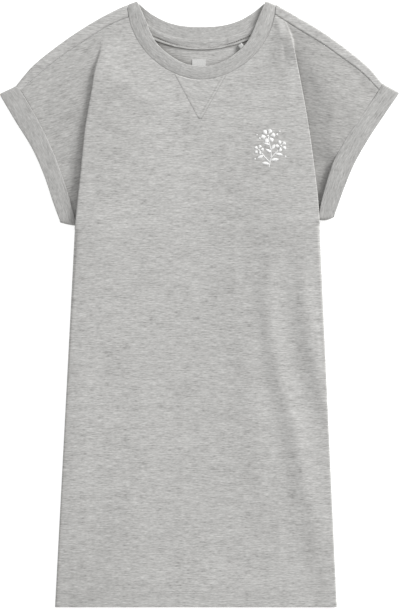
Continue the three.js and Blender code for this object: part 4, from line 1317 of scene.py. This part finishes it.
def chest_print(under):
    strips = []
    for line in STEMS:
        centre = at_shares(curve_through(line), steps(24))
        strips.append(ink_strip(centre, np.full(len(centre), STEM_HALF)))
    for x, y, radius, petals, first in BLOSSOMS:
        for k in range(petals):
            degrees = first + 360 * k / petals
            angle = math.radians(degrees)
            start = 0.3 * radius
            strips.append(ink_leaf(x + math.cos(angle) * start, y + math.sin(angle) * start, degrees,
                                   0.72 * radius, 0.66 * radius, notch=-0.35))
        strips.append(ink_leaf(x - 0.16 * radius, y, 0, 0.32 * radius, 0.32 * radius))
    strips += [ink_leaf(*leaf) for leaf in LEAVES]
    strips += [ink_leaf(x - size, y, 0, 2 * size, 2 * size) for x, y, size in BUDS]
    return make_mesh("chest_print", *joined(ink_wall(strip, under) for strip in strips), INK,
                     slot="white_trim")


front = front_cloth()
back = back_cloth()
band = neckband()
cuffs = [cuff(side) for side in SIDES]
on_front = Surface(front)
insert = v_insert(on_front)
tape = neck_tape()
label = neck_label()
loop = ribbon_loop()
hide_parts("front")
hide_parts("back")
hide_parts("neckband")
for side, piece in zip(SIDES, cuffs):
    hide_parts(f"cuff_{side['name']}")
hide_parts("v_insert")
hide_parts("neck_tape")
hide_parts("neck_label")
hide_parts("ribbon_loop")

HEM_STITCH = (15.5, 21)  # height of the two needle lines over the hem's edge
HEM_STITCH_X = (-186, 176)
TAPE_STITCH_IN = 4  # how far in from the tape's ends its stitches stop
hem_x = lerp(*HEM_STITCH_X, steps(40))
stitches("hem_stitches", [[(x, HEM_Y + up) for x in hem_x] for up in HEM_STITCH], on_front)
tape_x = NECK_X + (TAPE_HALF - TAPE_STITCH_IN) * (2 * steps(60) - 1)
tape_line = np.column_stack([tape_x, tape_low_y(tape_x) + tape_stitch_up(tape_x)])
stitches("tape_stitches", [tape_line], Surface(tape))
chest_print(on_front)

# Camera, light and floor

CAMERA_Y = -0.0007
FRAME_HEIGHT = 0.8046  # metres of floor that the picture's height takes in
LENS = 100
SENSOR = 36
KEY_AZIMUTH = 38  # degrees from +X
KEY_ELEVATION = 21
KEY_FAR = 8.0
KEY_SIZE = 3.4
KEY_POWER = 820
FILL = 0.595
FLOOR_HALF = 6.0
FLOOR_GLOW = 0.6
FLOOR_BELOW = 0.0002  # how far the floor lies under the dress, so that the faces don't meet


def look_down():
    data = bpy.data.cameras.new("camera")
    data.lens = LENS
    data.sensor_width = SENSOR
    data.sensor_fit = "AUTO"
    camera = placed("camera", data)
    camera.location = (0, CAMERA_Y, FRAME_HEIGHT * LENS / SENSOR)
    bpy.context.scene.camera = camera


def light_up():
    data = bpy.data.lights.new("key", "AREA")
    data.shape = "DISK"
    data.size = KEY_SIZE
    data.energy = KEY_POWER
    key = placed("key", data)
    azimuth, elevation = math.radians(KEY_AZIMUTH), math.radians(KEY_ELEVATION)
    way = Vector((math.cos(azimuth) * math.cos(elevation), math.sin(azimuth) * math.cos(elevation),
                  math.sin(elevation)))
    key.location = way * KEY_FAR
    key.rotation_euler = way.to_track_quat("Z", "Y").to_euler()
    world = bpy.data.worlds.new("studio")
    world.use_nodes = True
    set_sockets(world.node_tree.nodes["Background"], {"Color": (1, 1, 1, 1), "Strength": FILL})
    bpy.context.scene.world = world
    bpy.context.scene.view_settings.view_transform = "Standard"


def lay_floor():
    mesh = bpy.data.meshes.new("floor")
    corners = [(x * FLOOR_HALF, y * FLOOR_HALF, 0) for x, y in ((-1, -1), (1, -1), (1, 1), (-1, 1))]
    mesh.from_pydata(corners, [], [(0, 1, 2, 3)])
    material, shader = new_material("floor_white", 0.9, 0.0)
    set_sockets(shader, {"Base Color": (0.8, 0.8, 0.8, 1), "Emission Color": (1, 1, 1, 1),
                         "Emission Strength": FLOOR_GLOW})
    mesh.materials.append(material)
    floor = placed("floor", mesh)
    floor.location.z = -FLOOR_BELOW


look_down()
light_up()
lay_floor()
